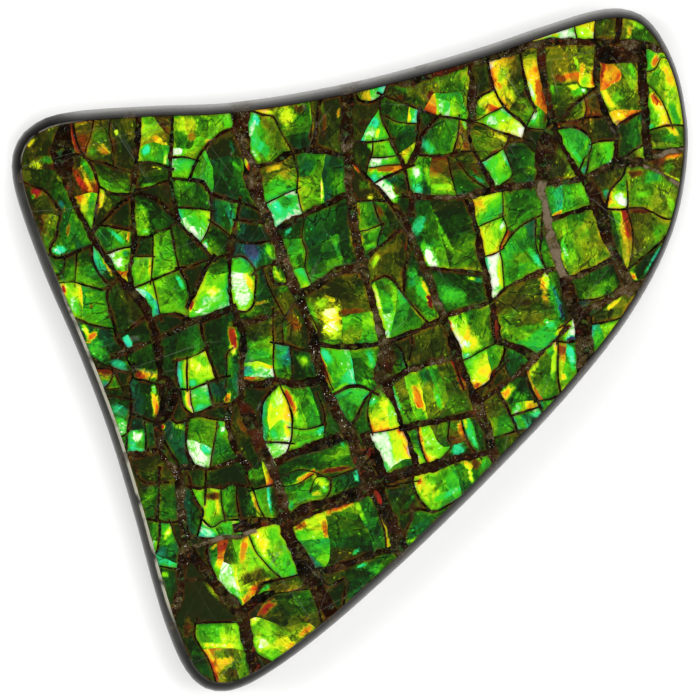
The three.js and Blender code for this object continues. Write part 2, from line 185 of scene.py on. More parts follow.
# Cracks: width, then x and y along the middle line.
CRACKS = [
    (4, [(16, 177), (30, 186), (42, 190), (50, 197), (57, 207), (61, 213), (58, 225), (56, 238), (50, 250),
         (53, 257), (62, 258), (75, 253), (92, 246)]),
    (3, [(72, 154), (82, 156), (92, 161), (103, 163), (115, 168), (128, 172), (136, 175)]),
    (4, [(83, 155), (92, 166), (96, 176), (99, 186), (107, 192), (118, 195), (134, 194)]),
    (3, [(99, 187), (97, 205), (92, 232)]),
    (4, [(95, 231), (102, 223), (112, 212), (122, 203), (133, 197)]),
    (3, [(101, 226), (115, 228), (134, 232)]), (3, [(104, 255), (110, 253), (122, 249), (132, 247)]),
    (3, [(92, 249), (93, 262), (99, 275), (107, 284), (110, 288)]),
    (2, [(54, 276), (62, 273), (65, 262), (63, 257)]), (3, [(54, 257), (47, 255), (42, 254)]),
    (2, [(77, 253), (76, 268), (75, 284)]),
    (3, [(62, 283), (75, 283), (90, 287), (103, 290), (112, 285), (118, 279)]),
    (5, [(109, 287), (107, 300), (110, 313), (114, 325), (117, 338), (125, 350)]),
    (3, [(68, 317), (80, 320), (92, 325), (103, 328), (115, 329)]),
    (3, [(117, 333), (128, 330), (140, 321), (147, 315)]),
    (3, [(83, 157), (78, 146), (74, 132), (72, 117)]), (2, [(84, 156), (87, 146), (91, 135), (95, 113)]),
    (2, [(110, 122), (109, 134), (112, 146), (113, 166)]),
    (5, [(173, 110), (172, 135), (171, 150), (170, 175), (172, 190), (175, 205), (178, 217)]),
    (3, [(171, 158), (185, 158), (197, 161)]), (4, [(138, 162), (150, 163), (160, 165), (171, 169)]),
    (3, [(137, 190), (150, 187), (160, 183), (171, 180)]),
    (5, [(135, 192), (148, 196), (158, 201), (168, 211), (176, 219), (183, 229), (193, 238), (203, 247),
         (214, 259)]),
    (5, [(236, 128), (228, 131), (218, 137), (208, 145), (200, 155), (195, 165), (190, 179)]),
    (5, [(171, 179), (190, 180), (203, 183), (210, 193), (224, 198), (240, 203), (252, 207), (261, 211)]),
    (2, [(176, 208), (195, 209), (211, 211)]), (2, [(210, 194), (211, 215), (208, 230), (200, 244)]),
    (2, [(211, 222), (220, 228), (230, 236)]),
    (6, [(214, 258), (207, 268), (202, 278), (196, 291), (188, 306)]),
    (4, [(213, 259), (222, 257), (230, 253)]),
    (4, [(135, 238), (148, 237), (158, 232), (169, 229), (178, 222)]),
    (2, [(153, 236), (153, 257), (151, 282)]), (2, [(133, 257), (152, 257)]),
    (3, [(135, 288), (152, 281), (165, 275), (178, 270)]),
    (3, [(171, 229), (174, 245), (177, 260), (181, 272), (186, 281), (189, 292), (191, 299)]),
    (3, [(178, 268), (190, 267), (203, 262), (213, 259)]),
    (4, [(153, 319), (165, 314), (178, 315), (190, 319)]), (2, [(153, 281), (157, 300), (161, 318)]),
    (3, [(203, 322), (212, 318), (222, 315), (231, 312)]),
    (3, [(250, 111), (262, 115), (273, 117), (278, 126), (283, 137), (290, 149), (296, 165), (298, 178),
         (297, 191)]),
    (2, [(268, 203), (284, 195), (298, 189)]), (5, [(322, 95), (318, 115), (316, 132), (312, 150)]),
    (2, [(310, 98), (312, 120), (311, 135)]), (1.5, [(297, 189), (300, 205), (304, 218)]),
    (1.5, [(304, 222), (302, 240), (306, 252), (305, 268), (311, 284)]),
    (3, [(236, 221), (250, 222), (268, 225)]), (4, [(232, 241), (250, 244), (274, 241)]),
    (3, [(254, 274), (262, 268), (275, 265)]),
    (3, [(231, 258), (244, 258), (255, 271), (256, 290), (253, 306), (246, 312), (236, 311)]),
    (4, [(273, 264), (270, 272), (275, 284), (285, 284)]),
    (2, [(263, 270), (268, 285), (275, 300), (285, 318)]),
    (3, [(273, 312), (273, 330), (274, 346), (273, 366), (276, 382)]),
    (3, [(273, 343), (288, 346), (303, 350), (314, 352)]), (2, [(290, 350), (292, 366), (292, 381)]),
    (2, [(297, 300), (290, 310), (283, 322), (283, 343)]),
    (4, [(336, 394), (346, 388), (358, 386), (367, 389), (376, 394)]),
    (5, [(377, 388), (366, 399), (359, 412), (352, 424), (344, 430)]),
    (2, [(318, 344), (318, 331), (312, 318)]), (3, [(310, 345), (316, 352), (323, 366), (332, 388)]),
    (3, [(352, 142), (375, 142), (391, 140)]),
    (3, [(381, 97), (380, 105), (381, 118), (386, 130), (391, 141)]),
    (3, [(355, 93), (360, 101), (372, 102), (382, 96)]), (2, [(383, 97), (386, 88), (389, 80)]),
    (3, [(380, 94), (390, 99), (402, 103), (420, 110), (437, 116)]),
    (3, [(437, 116), (450, 118), (465, 121), (480, 124), (495, 131), (512, 136), (530, 141)]),
    (4, [(420, 110), (418, 125), (417, 140), (414, 152), (408, 166)]),
    (5, [(439, 117), (428, 127), (421, 137), (418, 152), (413, 161)]),
    (3, [(422, 156), (440, 156), (459, 152), (474, 152)]),
    (4, [(412, 166), (398, 172), (385, 178), (374, 184)]), (2, [(388, 118), (398, 123), (417, 124)]),
    (2, [(373, 142), (372, 155), (368, 166), (366, 176)]), (2, [(372, 158), (385, 158), (398, 156)]),
    (2, [(371, 168), (385, 166), (404, 165)]), (3, [(350, 202), (370, 201), (388, 201)]),
    (2, [(374, 204), (377, 215), (382, 226), (379, 236), (377, 248)]),
    (2, [(356, 233), (368, 230), (381, 225)]),
    (5, [(362, 263), (373, 252), (385, 243), (398, 233), (408, 230)]),
    (4, [(409, 243), (407, 262), (404, 275), (404, 290)]),
    (3, [(370, 284), (380, 278), (387, 277), (395, 284), (403, 294), (410, 303), (420, 315), (430, 325)]),
    (2, [(370, 283), (374, 300), (378, 318)]),
    (5, [(424, 267), (440, 270), (455, 271), (470, 272), (484, 275)]),
    (2, [(448, 158), (451, 175), (457, 197)]), (2, [(461, 166), (470, 178), (483, 187)]),
    (2, [(459, 118), (458, 135), (453, 153)]), (3, [(388, 342), (399, 348), (404, 358), (408, 371)]),
    (3, [(411, 333), (412, 346), (410, 358)]), (2, [(368, 434), (388, 431), (403, 427)]),
    (3, [(452, 354), (457, 370), (463, 388)]), (3, [(418, 424), (419, 440), (425, 458), (430, 468)]),
    (2, [(461, 418), (464, 432), (470, 445), (480, 458)]),
    (3, [(450, 420), (448, 440), (452, 446), (441, 460), (430, 468)]),
    (3, [(380, 476), (388, 487), (405, 484), (416, 482)]),
    (4, [(414, 470), (413, 485), (420, 500), (428, 509)]),
    (4, [(405, 512), (420, 510), (436, 512), (450, 505), (457, 500)]),
    (3, [(404, 545), (406, 532), (412, 520), (412, 508)]), (3, [(372, 433), (368, 412), (371, 394)]),
    (4, [(488, 62), (491, 80), (495, 92), (501, 103), (508, 112), (520, 121), (527, 128)]),
    (3, [(474, 103), (480, 97), (492, 91)]), (2, [(477, 121), (490, 114), (504, 107)]),
    (4, [(520, 50), (524, 75), (528, 95), (535, 110)]),
    (3, [(535, 110), (530, 120), (526, 128), (523, 140)]), (2, [(528, 128), (540, 130), (552, 131)]),
    (3, [(479, 163), (492, 156), (504, 148), (509, 138)]),
    (2, [(503, 148), (508, 160), (512, 176), (500, 186)]), (2, [(510, 142), (524, 143), (534, 152)]),
    (2, [(502, 190), (503, 205), (503, 218)]), (2, [(477, 228), (490, 222), (503, 217)]),
    (2, [(503, 217), (507, 230), (500, 248), (502, 262), (504, 288)]),
    (2, [(484, 257), (493, 255), (502, 250)]), (2, [(505, 245), (515, 232), (530, 221), (544, 215)]),
    (3, [(542, 216), (542, 235), (540, 252), (547, 272)]), (2, [(536, 222), (536, 245), (542, 262)]),
    (2, [(461, 362), (470, 358), (484, 350), (498, 343)]), (2, [(504, 346), (504, 362), (509, 376)]),
    (4, [(490, 385), (492, 374), (500, 365), (505, 352)]),
    (3, [(474, 391), (486, 385), (497, 372), (507, 362)]),
    (4, [(498, 392), (507, 406), (512, 418), (518, 432)]),
    (4, [(524, 368), (529, 385), (536, 399), (544, 416)]),
    (3, [(488, 440), (500, 437), (517, 431), (528, 430)]), (3, [(537, 402), (548, 400), (560, 396)]),
    (3, [(515, 415), (525, 412), (537, 408)]), (3, [(558, 342), (558, 360), (558, 378), (561, 396)]),
    (4, [(556, 342), (566, 343), (580, 341)]), (3, [(566, 325), (560, 333), (557, 342)]),
    (2, [(562, 327), (569, 322), (574, 318)]), (2, [(573, 18), (575, 30), (578, 42)]),
    (2, [(598, 8), (595, 25), (594, 42)]),
    (5, [(596, 88), (585, 96), (577, 103), (570, 110), (564, 118), (554, 123)]),
    (2, [(584, 97), (586, 110), (583, 121)]),
    (3, [(559, 129), (570, 127), (580, 130), (588, 136), (592, 143), (590, 152), (584, 160), (580, 170)]),
    (3, [(560, 122), (575, 121), (590, 118), (606, 117)]), (3, [(592, 144), (602, 141), (616, 141)]),
    (3, [(589, 155), (588, 166), (585, 176)]), (4, [(616, 129), (624, 122), (633, 116), (645, 111)]),
    (3, [(616, 165), (627, 156), (637, 149), (648, 143)]),
    (2, [(648, 85), (656, 93), (664, 106), (672, 126)]), (3, [(651, 130), (665, 126), (684, 126)]),
    (2, [(647, 72), (655, 70), (662, 58), (672, 62)]), (3, [(650, 150), (665, 150), (683, 148)]),
    (3, [(606, 209), (620, 210), (640, 208), (652, 212), (665, 219), (680, 219)]),
    (3, [(606, 210), (608, 200), (611, 190), (622, 178), (626, 168)]),
    (2, [(627, 184), (628, 198), (627, 210)]), (2, [(627, 210), (631, 225), (633, 245), (629, 268)]),
    (4, [(628, 270), (645, 256), (657, 246), (670, 234)]), (3, [(594, 325), (608, 322), (624, 317)]),
    (3, [(591, 318), (591, 335), (593, 356)]), (2, [(576, 300), (592, 300), (608, 296)]),
    (2, [(83, 350), (98, 362), (112, 368), (125, 372), (135, 372)]),
    (3, [(96, 369), (112, 371), (110, 382), (100, 392)]), (2, [(111, 367), (118, 381), (122, 389)]),
    (3, [(134, 366), (133, 378), (145, 381), (160, 386)]), (3, [(124, 350), (128, 362), (134, 370)]),
    (2, [(103, 390), (115, 389), (128, 386), (132, 379)]), (2, [(105, 397), (118, 397), (131, 400)]),
    (3, [(129, 386), (131, 400), (131, 413), (128, 430), (126, 452)]),
    (3, [(132, 414), (140, 417), (149, 421), (158, 424)]), (3, [(115, 437), (122, 437), (128, 432)]),
    (2, [(145, 425), (146, 440), (145, 452)]), (3, [(136, 470), (140, 480), (150, 484), (166, 483)]),
    (4, [(159, 470), (159, 485), (159, 500), (157, 518)]),
    (3, [(138, 519), (155, 521), (168, 523), (182, 522)]), (3, [(176, 485), (178, 502), (179, 520)]),
    (3, [(160, 523), (159, 540), (156, 553), (150, 556)]), (3, [(157, 566), (166, 568), (178, 569)]),
    (2, [(170, 523), (175, 537), (182, 551)]), (3, [(161, 572), (160, 585), (165, 600)]),
    (4, [(160, 424), (163, 440), (170, 452), (177, 463), (180, 471)]),
    (3, [(171, 418), (176, 424), (187, 422)]), (3, [(187, 360), (187, 372), (187, 389)]),
    (3, [(177, 362), (176, 376), (180, 392), (184, 408), (193, 415)]),
    (3, [(176, 361), (190, 358), (206, 350), (208, 346)]),
    (3, [(179, 390), (190, 390), (207, 383), (217, 379), (228, 377)]),
    (2, [(190, 390), (191, 402), (194, 414)]), (4, [(206, 350), (211, 364), (217, 379)]),
    (3, [(208, 384), (211, 396), (214, 406)]), (4, [(192, 415), (203, 411), (214, 406), (229, 404)]),
    (3, [(207, 347), (203, 337), (200, 322)]), (2, [(226, 384), (227, 370), (227, 355), (231, 350)]),
    (4, [(187, 421), (186, 440), (188, 455), (194, 465)]),
    (3, [(187, 420), (200, 417), (214, 420), (228, 421)]),
    (2, [(217, 422), (215, 440), (212, 455), (210, 467)]),
    (3, [(188, 470), (190, 486), (196, 500), (203, 512), (200, 525), (197, 537)]),
    (3, [(184, 487), (200, 489), (207, 487), (222, 489), (230, 485), (240, 486), (252, 489)]),
    (3, [(206, 470), (206, 487), (205, 503)]), (3, [(221, 489), (222, 505), (225, 520)]),
    (2, [(236, 487), (237, 503), (240, 519)]), (3, [(201, 519), (212, 528), (224, 521), (237, 520)]),
    (3, [(197, 538), (212, 539), (226, 538)]), (3, [(246, 468), (248, 480), (253, 491)]),
    (3, [(251, 491), (262, 488), (274, 485)]), (3, [(254, 492), (259, 508), (266, 521)]),
    (3, [(266, 443), (280, 443), (292, 444)]),
    (4, [(262, 458), (262, 440), (261, 420), (264, 400), (275, 388), (280, 384)]),
    (3, [(280, 385), (287, 400), (292, 418), (291, 440), (285, 455), (277, 468)]),
    (2, [(291, 428), (305, 430), (324, 425)]), (2, [(318, 396), (324, 412), (325, 428), (324, 440)]),
    (2, [(286, 475), (300, 470), (316, 473), (330, 478), (352, 470), (362, 466)]),
    (2, [(311, 490), (316, 478), (330, 479), (330, 492), (324, 500)]),
    (2, [(284, 487), (298, 484), (311, 476)]),
    (2, [(250, 538), (256, 552), (264, 562), (272, 571), (279, 577)]),
    (4, [(208, 543), (207, 552), (210, 566), (217, 582)]),
    (3, [(256, 596), (262, 585), (280, 580), (302, 574)]), (2, [(268, 596), (290, 592), (312, 589)]),
    (3, [(320, 578), (330, 586), (345, 580), (344, 604)]), (2, [(185, 581), (200, 580), (213, 583)]),
    (3, [(197, 624), (215, 623), (237, 622)]),
    (3, [(197, 622), (195, 635), (201, 648), (210, 664), (218, 688)]),
    (3, [(312, 592), (317, 605), (322, 622)]), (3, [(250, 640), (258, 655), (270, 662)]),
    (2, [(386, 546), (384, 530), (378, 512), (374, 497)]),
]

# Chips: slivers of shell caught in the veins: x, y, length, width and direction in degrees.
CHIPS = [(247, 165, 13, 4, -70), (378, 498, 16, 6, -65), (497, 331, 22, 4, -85)]

# Breaks: lines where a fragment changes colour with no gap.
BREAKS = [
    [(28, 157), (45, 156), (60, 153)], [(20, 171), (45, 170), (60, 173)],
    [(33, 217), (45, 215), (55, 216)], [(74, 198), (88, 193), (98, 194)],
    [(81, 286), (83, 300), (83, 320)], [(117, 271), (124, 272), (131, 271)],
    [(139, 147), (155, 143), (172, 148)], [(152, 114), (160, 128), (172, 138)],
    [(172, 147), (190, 150), (197, 138), (212, 140), (228, 130)],
    [(203, 148), (207, 155), (213, 172), (213, 196)], [(176, 222), (186, 217), (197, 210)],
    [(213, 160), (225, 157), (240, 158)], [(219, 199), (226, 212), (232, 228)],
    [(137, 289), (147, 292), (158, 304)], [(189, 319), (190, 302), (197, 292)],
    [(196, 268), (215, 275), (231, 272)], [(283, 137), (296, 134), (312, 131)],
    [(298, 178), (318, 178), (321, 205)], [(325, 158), (321, 178)],
    [(306, 249), (325, 243), (338, 234), (341, 252), (344, 262)], [(288, 272), (296, 269), (306, 268)],
    [(287, 240), (303, 239)], [(370, 90), (371, 102)],
    [(425, 110), (430, 99), (435, 94), (447, 94), (460, 93), (464, 106), (467, 118)],
    [(436, 92), (436, 104), (437, 118)], [(526, 108), (535, 106), (544, 112)], [(627, 170), (627, 186)],
    [(396, 100), (407, 124)], [(409, 106), (407, 124)], [(378, 112), (368, 126), (360, 142)],
    [(398, 155), (408, 148), (418, 140)], [(430, 205), (440, 232), (449, 268)],
    [(438, 100), (449, 103), (449, 117)], [(432, 158), (430, 175), (432, 196)],
    [(509, 110), (518, 97), (526, 86)], [(527, 68), (541, 67)],
    [(577, 48), (579, 70), (580, 86), (594, 88)], [(546, 84), (562, 86), (580, 84)],
    [(601, 91), (612, 86), (622, 77), (612, 60)], [(605, 113), (619, 111), (637, 111)],
    [(630, 62), (637, 72), (642, 84)], [(653, 96), (656, 110), (668, 128)],
    [(612, 212), (618, 235), (624, 262)], [(562, 186), (563, 200), (562, 214)],
    [(318, 298), (322, 318), (321, 343)], [(328, 292), (336, 308), (342, 322), (342, 346)],
    [(342, 318), (352, 315), (374, 312)], [(361, 316), (362, 330), (358, 346)],
    [(398, 291), (395, 315), (389, 340)], [(384, 314), (395, 312)], [(416, 280), (424, 300), (436, 318)],
    [(468, 321), (475, 338), (482, 352)], [(487, 352), (489, 364), (492, 376)],
    [(350, 352), (353, 368), (356, 386)], [(371, 350), (370, 364), (374, 380)],
    [(341, 406), (350, 402), (362, 410)], [(404, 374), (408, 395), (417, 422)],
    [(414, 370), (422, 392), (428, 420)], [(428, 366), (434, 386), (450, 414)],
    [(436, 364), (444, 386), (455, 412)], [(421, 428), (425, 448), (430, 466)],
    [(430, 426), (440, 445), (450, 448)], [(452, 446), (460, 443), (466, 440)],
    [(433, 484), (436, 495), (433, 512)], [(455, 470), (460, 485), (462, 494)],
    [(385, 474), (398, 462), (412, 458)], [(261, 462), (264, 475), (267, 488)],
    [(266, 488), (268, 505), (274, 520)], [(272, 393), (268, 415), (270, 443)],
    [(270, 430), (280, 420), (292, 424)], [(290, 390), (300, 405), (309, 430)],
    [(309, 388), (316, 405), (322, 426)], [(187, 440), (200, 443), (215, 451)],
    [(245, 364), (258, 362), (273, 366)], [(244, 377), (258, 377), (274, 378)],
    [(158, 556), (168, 561), (178, 563)], [(131, 431), (144, 430)], [(128, 447), (145, 449)],
    [(150, 541), (158, 541)], [(228, 541), (224, 556), (219, 584)], [(217, 545), (217, 560), (212, 572)],
    [(224, 562), (234, 569), (239, 585), (244, 612)], [(240, 588), (254, 582), (268, 582)],
    [(266, 536), (267, 552), (266, 564)], [(232, 541), (238, 560), (237, 574)],
    [(325, 512), (328, 530), (330, 552), (326, 568)], [(296, 541), (312, 540), (329, 538)],
    [(352, 502), (362, 520), (370, 536), (374, 555)], [(203, 650), (222, 648), (245, 651)],
    [(249, 620), (258, 618), (268, 621), (276, 624), (284, 627), (290, 623), (299, 621), (307, 623),
     (316, 629)],
    [(256, 618), (262, 606), (273, 596)], [(232, 652), (236, 665), (240, 682)], [(344, 450), (350, 470)],
    [(315, 447), (313, 460), (316, 474)], [(529, 370), (534, 386), (545, 402)],
    [(566, 345), (566, 360), (561, 380)], [(510, 405), (522, 402), (536, 400)],
    [(548, 277), (552, 295), (557, 316), (566, 330)], [(499, 300), (520, 310), (548, 306)],
    [(542, 283), (545, 300), (552, 322)], [(506, 230), (520, 236), (536, 240)],
    [(556, 232), (562, 250), (565, 276)], [(600, 326), (606, 340), (604, 352)],
    [(452, 236), (446, 226), (440, 212)],
]

# Colours of the shell: where its play lies (0 violet, 0.25 blue-green, 0.5 green, 0.75 yellow, 1 crimson) and
# how brightly it plays (0 asleep, 0.7 full colour, above 1 a white glint, which is a painted highlight).
SHADES = {
    "black": (0.70, -0.16),
    "night": (0.50, 0.01),
    "umber": (0.72, 0.05),
    "moss": (0.69, 0.09),
    "bottle": (0.47, 0.10),
    "dusk": (0.30, 0.11),
    "rust": (0.87, 0.22),
    "olive": (0.70, 0.21),
    "pine": (0.42, 0.24),
    "grass": (0.64, 0.35),
    "leaf": (0.55, 0.41),
    "teal": (0.29, 0.44),
    "blue": (0.05, 0.38),
    "green": (0.47, 0.56),
    "lime": (0.59, 0.65),
    "jade": (0.33, 0.66),
    "gold": (0.77, 0.67),
    "orange": (0.85, 0.62),
    "red": (0.94, 0.50),
    "crimson": (1.00, 0.50),
    "yellow": (0.72, 0.74),
    "mint": (0.40, 0.88),
    "cyan": (0.30, 0.90),
    "lemon": (0.705, 0.88),
    "snow": (0.50, 1.02),
    "white": (0.52, 1.14),
}

# Facets, by the shade that each runs from: x, y, the shade that it runs to and the direction that it runs
# in, in degrees from the right, anticlockwise.
FACETS = {
    "black": [
        (216, 413, "night", 0), (192, 573, "black", 0), (200, 619, "bottle", -100), (260, 661, "umber", 0),
    ],
    "night": [
        (137, 335, "bottle", -100), (168, 324, "night", -60), (162, 194, "umber", 0),
        (192, 277, "moss", 0), (255, 399, "umber", 0), (119, 393, "night", 0), (179, 411, "umber", 0),
        (227, 476, "night", 0), (197, 477, "bottle", 0), (402, 504, "umber", 0), (202, 554, "umber", 0),
        (178, 533, "night", 0),
    ],
    "umber": [
        (45, 140, "umber", 0), (45, 163, "rust", 0), (37, 200, "umber", 0), (121, 217, "night", 0),
        (150, 175, "bottle", -60), (81, 174, "rust", 0), (164, 123, "rust", -90), (330, 125, "moss", 0),
        (363, 187, "olive", 0), (514, 140, "moss", 0), (533, 138, "bottle", 0), (667, 165, "olive", -30),
        (635, 66, "umber", 0), (593, 106, "rust", -100), (560, 166, "leaf", 0), (467, 173, "pine", -90),
        (603, 180, "moss", 0), (426, 346, "moss", 0), (494, 383, "umber", 0), (281, 295, "olive", 0),
        (296, 330, "moss", 0), (397, 361, "pine", 0), (100, 365, "umber", 0), (156, 487, "pine", -90),
        (247, 448, "bottle", 0), (359, 573, "pine", -55), (402, 481, "umber", 0), (460, 450, "umber", 0),
        (589, 322, "umber", 0), (285, 586, "olive", -45), (256, 610, "rust", 30), (336, 594, "night", 0),
        (168, 454, "bottle", 0),
    ],
    "moss": [
        (113, 179, "leaf", -120), (123, 143, "moss", 0), (82, 132, "rust", -60), (104, 203, "pine", 0),
        (225, 148, "umber", 0), (366, 152, "bottle", 0), (441, 85, "grass", 0), (522, 108, "leaf", -90),
        (586, 65, "gold", -90), (606, 29, "olive", 0), (528, 314, "green", -75), (337, 306, "moss", 90),
        (259, 342, "green", -90), (498, 416, "leaf", -70), (611, 310, "olive", 0), (481, 79, "olive", 0),
    ],
    "bottle": [
        (69, 271, "leaf", -40), (88, 271, "leaf", -110), (144, 248, "night", 0), (124, 308, "umber", 20),
        (187, 249, "bottle", 0), (219, 267, "leaf", -75), (299, 140, "pine", 0), (388, 131, "pine", 0),
        (404, 111, "pine", 0), (425, 121, "bottle", 0), (521, 164, "pine", -60), (630, 137, "pine", 0),
        (445, 234, "grass", -60), (615, 235, "leaf", 0), (598, 283, "bottle", 0), (459, 290, "pine", -110),
        (419, 289, "leaf", -120), (514, 361, "pine", 0), (302, 366, "pine", 0), (325, 412, "pine", 0),
        (224, 357, "pine", 0), (145, 363, "bottle", 0), (120, 412, "jade", -80), (180, 348, "pine", 0),
        (247, 504, "pine", 0), (334, 460, "pine", 100), (302, 481, "leaf", -60), (504, 442, "moss", 0),
        (170, 584, "pine", 180), (290, 609, "moss", -90), (185, 477, "umber", 0), (201, 266, "pine", 0),
        (363, 420, "pine", 0),
    ],
    "dusk": [
        (248, 212, "night", 0), (220, 216, "pine", 0), (253, 233, "bottle", 0), (323, 173, "leaf", 0),
        (261, 258, "pine", 0), (103, 346, "bottle", -90), (123, 377, "umber", 0), (145, 400, "night", 0),
        (147, 431, "pine", 0), (176, 439, "dusk", 0), (588, 303, "leaf", 0), (189, 505, "night", 0),
    ],
    "rust": [
        (45, 225, "grass", 0), (656, 153, "umber", 0), (594, 129, "moss", 0), (441, 178, "leaf", -90),
        (105, 376, "teal", -110), (322, 614, "umber", 0),
    ],
    "olive": [
        (50, 190, "pine", 0), (95, 140, "olive", -110), (292, 118, "leaf", -30), (314, 113, "umber", 0),
        (279, 179, "green", -90), (365, 95, "gold", 0), (358, 125, "umber", 0), (390, 260, "moss", 0),
        (463, 138, "rust", 0), (486, 141, "leaf", -110), (530, 58, "gold", -80), (562, 65, "olive", 0),
        (638, 154, "lime", 40), (577, 112, "grass", 0), (646, 232, "grass", 0), (455, 386, "leaf", -110),
        (256, 379, "leaf", 0), (230, 556, "lime", -11), (404, 403, "leaf", -60), (249, 592, "lime", 180),
    ],
    "pine": [
        (57, 265, "leaf", -120), (150, 217, "bottle", 50), (118, 238, "leaf", 0), (225, 180, "pine", 0),
        (331, 230, "bottle", 0), (292, 231, "bottle", 0), (324, 259, "leaf", -60),
        (397, 191, "bottle", -30), (382, 227, "moss", 0), (440, 138, "leaf", 0), (527, 231, "green", 180),
        (538, 229, "leaf", 90), (642, 267, "bottle", 0), (473, 331, "leaf", 0), (546, 252, "leaf", -90),
        (517, 391, "bottle", 0), (266, 307, "moss", -60), (346, 535, "grass", 90), (371, 522, "pine", -60),
        (345, 483, "bottle", 0), (416, 445, "lime", -80), (419, 525, "pine", -60), (475, 434, "bottle", 0),
        (154, 531, "pine", 0), (213, 554, "green", -70), (428, 235, "leaf", 0), (470, 470, "leaf", 0),
        (310, 165, "leaf", 0),
    ],
    "grass": [
        (200, 143, "lime", 120), (487, 106, "yellow", 40), (565, 97, "moss", -60), (635, 32, "leaf", 0),
        (666, 138, "leaf", 30), (623, 91, "grass", 0), (637, 190, "grass", 0), (546, 373, "leaf", -40),
        (431, 396, "grass", 0), (241, 662, "leaf", -20), (276, 635, "lime", -120), (441, 434, "leaf", 0),
    ],
    "leaf": [
        (121, 260, "snow", 145), (163, 255, "lime", -90), (172, 294, "leaf", -50), (199, 128, "lime", 0),
        (191, 195, "pine", 0), (216, 241, "bottle", 40), (265, 140, "grass", 0), (309, 193, "leaf", 90),
        (367, 216, "pine", 0), (370, 240, "green", 40), (665, 90, "yellow", 0), (584, 166, "teal", -90),
        (601, 156, "green", 0), (521, 207, "leaf", -30), (580, 242, "grass", 0), (618, 198, "yellow", -90),
        (624, 235, "orange", 0), (441, 389, "grass", 0), (368, 329, "green", -90), (313, 324, "leaf", 0),
        (283, 363, "teal", 90), (307, 406, "green", 0), (365, 366, "pine", -120),
        (383, 413, "yellow", -60), (386, 303, "green", -90), (114, 384, "leaf", 0), (201, 431, "leaf", 90),
        (222, 447, "pine", -45), (401, 465, "pine", 0), (306, 437, "green", 90), (449, 434, "rust", -90),
        (522, 406, "gold", 0), (569, 364, "leaf", -110), (606, 328, "green", 0), (561, 306, "umber", 10),
        (566, 333, "white", 0), (538, 246, "lime", 0),
    ],
    "teal": [
        (232, 218, "green", 60), (272, 501, "umber", 0),
    ],
    "green": [
        (95, 308, "leaf", -60), (141, 270, "lime", 0), (205, 171, "green", -13), (185, 213, "jade", 180),
        (242, 284, "lime", -60), (295, 252, "leaf", -60), (383, 150, "lime", 0), (537, 118, "leaf", 0),
        (653, 59, "lime", 0), (576, 145, "green", 0), (420, 177, "pine", 0), (555, 200, "jade", 0),
        (574, 197, "leaf", 0), (405, 318, "leaf", 0), (494, 356, "leaf", 15), (520, 259, "leaf", -30),
        (352, 329, "grass", -90), (296, 410, "lime", 0), (336, 367, "mint", 20), (349, 411, "leaf", 0),
        (188, 400, "lemon", 0), (230, 503, "leaf", 0), (263, 503, "leaf", 0), (318, 551, "lime", -90),
        (543, 404, "leaf", 0), (547, 401, "green", 0), (597, 335, "jade", 120), (168, 546, "pine", -45),
        (219, 636, "lime", 0), (456, 104, "green", 0),
    ],
    "lime": [
        (74, 298, "yellow", 30), (154, 153, "green", 0), (152, 132, "olive", -50), (211, 296, "mint", -50),
        (443, 108, "mint", 0), (412, 116, "cyan", 0), (503, 123, "lemon", -20), (656, 111, "yellow", 0),
        (478, 369, "lemon", -60), (416, 397, "lemon", 20), (199, 370, "lime", 0), (211, 506, "lime", 0),
        (280, 432, "snow", 0), (274, 550, "green", -20), (312, 529, "gold", 60), (250, 564, "grass", 0),
        (449, 482, "green", 0), (432, 445, "lime", -60), (387, 323, "snow", 0),
    ],
    "jade": [
        (104, 268, "bottle", -60), (266, 420, "lime", 0), (352, 397, "green", -90), (136, 439, "green", 0),
        (136, 450, "mint", 0), (182, 374, "lime", 0), (526, 419, "dusk", 30), (166, 563, "jade", 0),
        (219, 530, "green", 40),
    ],
    "gold": [
        (407, 153, "yellow", 40), (621, 115, "orange", 0), (387, 537, "yellow", 0),
        (423, 443, "orange", -90), (562, 358, "yellow", -90),
    ],
    "orange": [
        (124, 275, "yellow", -30), (87, 207, "lime", 0), (382, 172, "cyan", -90), (430, 104, "yellow", 60),
        (609, 76, "gold", 0), (506, 239, "rust", 0), (534, 387, "orange", 0), (223, 664, "olive", 0),
    ],
    "red": [
        (497, 331, "rust", 0), (220, 557, "lemon", -90),
    ],
    "crimson": [
        (73, 137, "red", 0), (378, 498, "red", 0),
    ],
    "yellow": [
        (508, 79, "olive", 0), (488, 208, "green", -60), (493, 236, "lime", 0), (246, 164, "orange", -60),
        (266, 475, "orange", 0),
    ],
    "mint": [
        (182, 168, "lime", -60), (197, 223, "lime", 40), (285, 208, "mint", 60), (498, 168, "lime", 0),
        (302, 278, "lime", -130), (200, 399, "lime", -90), (155, 545, "lime", 0),
    ],
    "cyan": [
        (150, 302, "jade", -60), (375, 131, "green", 0),
    ],
    "lemon": [
        (532, 80, "orange", -20), (562, 35, "snow", 0), (585, 31, "lemon", 45), (258, 370, "mint", -90),
        (278, 409, "lemon", 0),
    ],
    "snow": [
        (149, 290, "lemon", 0), (375, 95, "cyan", 0), (383, 162, "green", 0),
    ],
    "white": [
        (495, 274, "lemon", 0), (200, 453, "snow", 0), (277, 450, "snow", -60), (388, 446, "lemon", 0),
        (230, 581, "lemon", 0),
    ],
}
# The shades that the facets with no row above draw from.
QUIET = ["moss", "bottle", "pine", "olive", "grass", "leaf"]
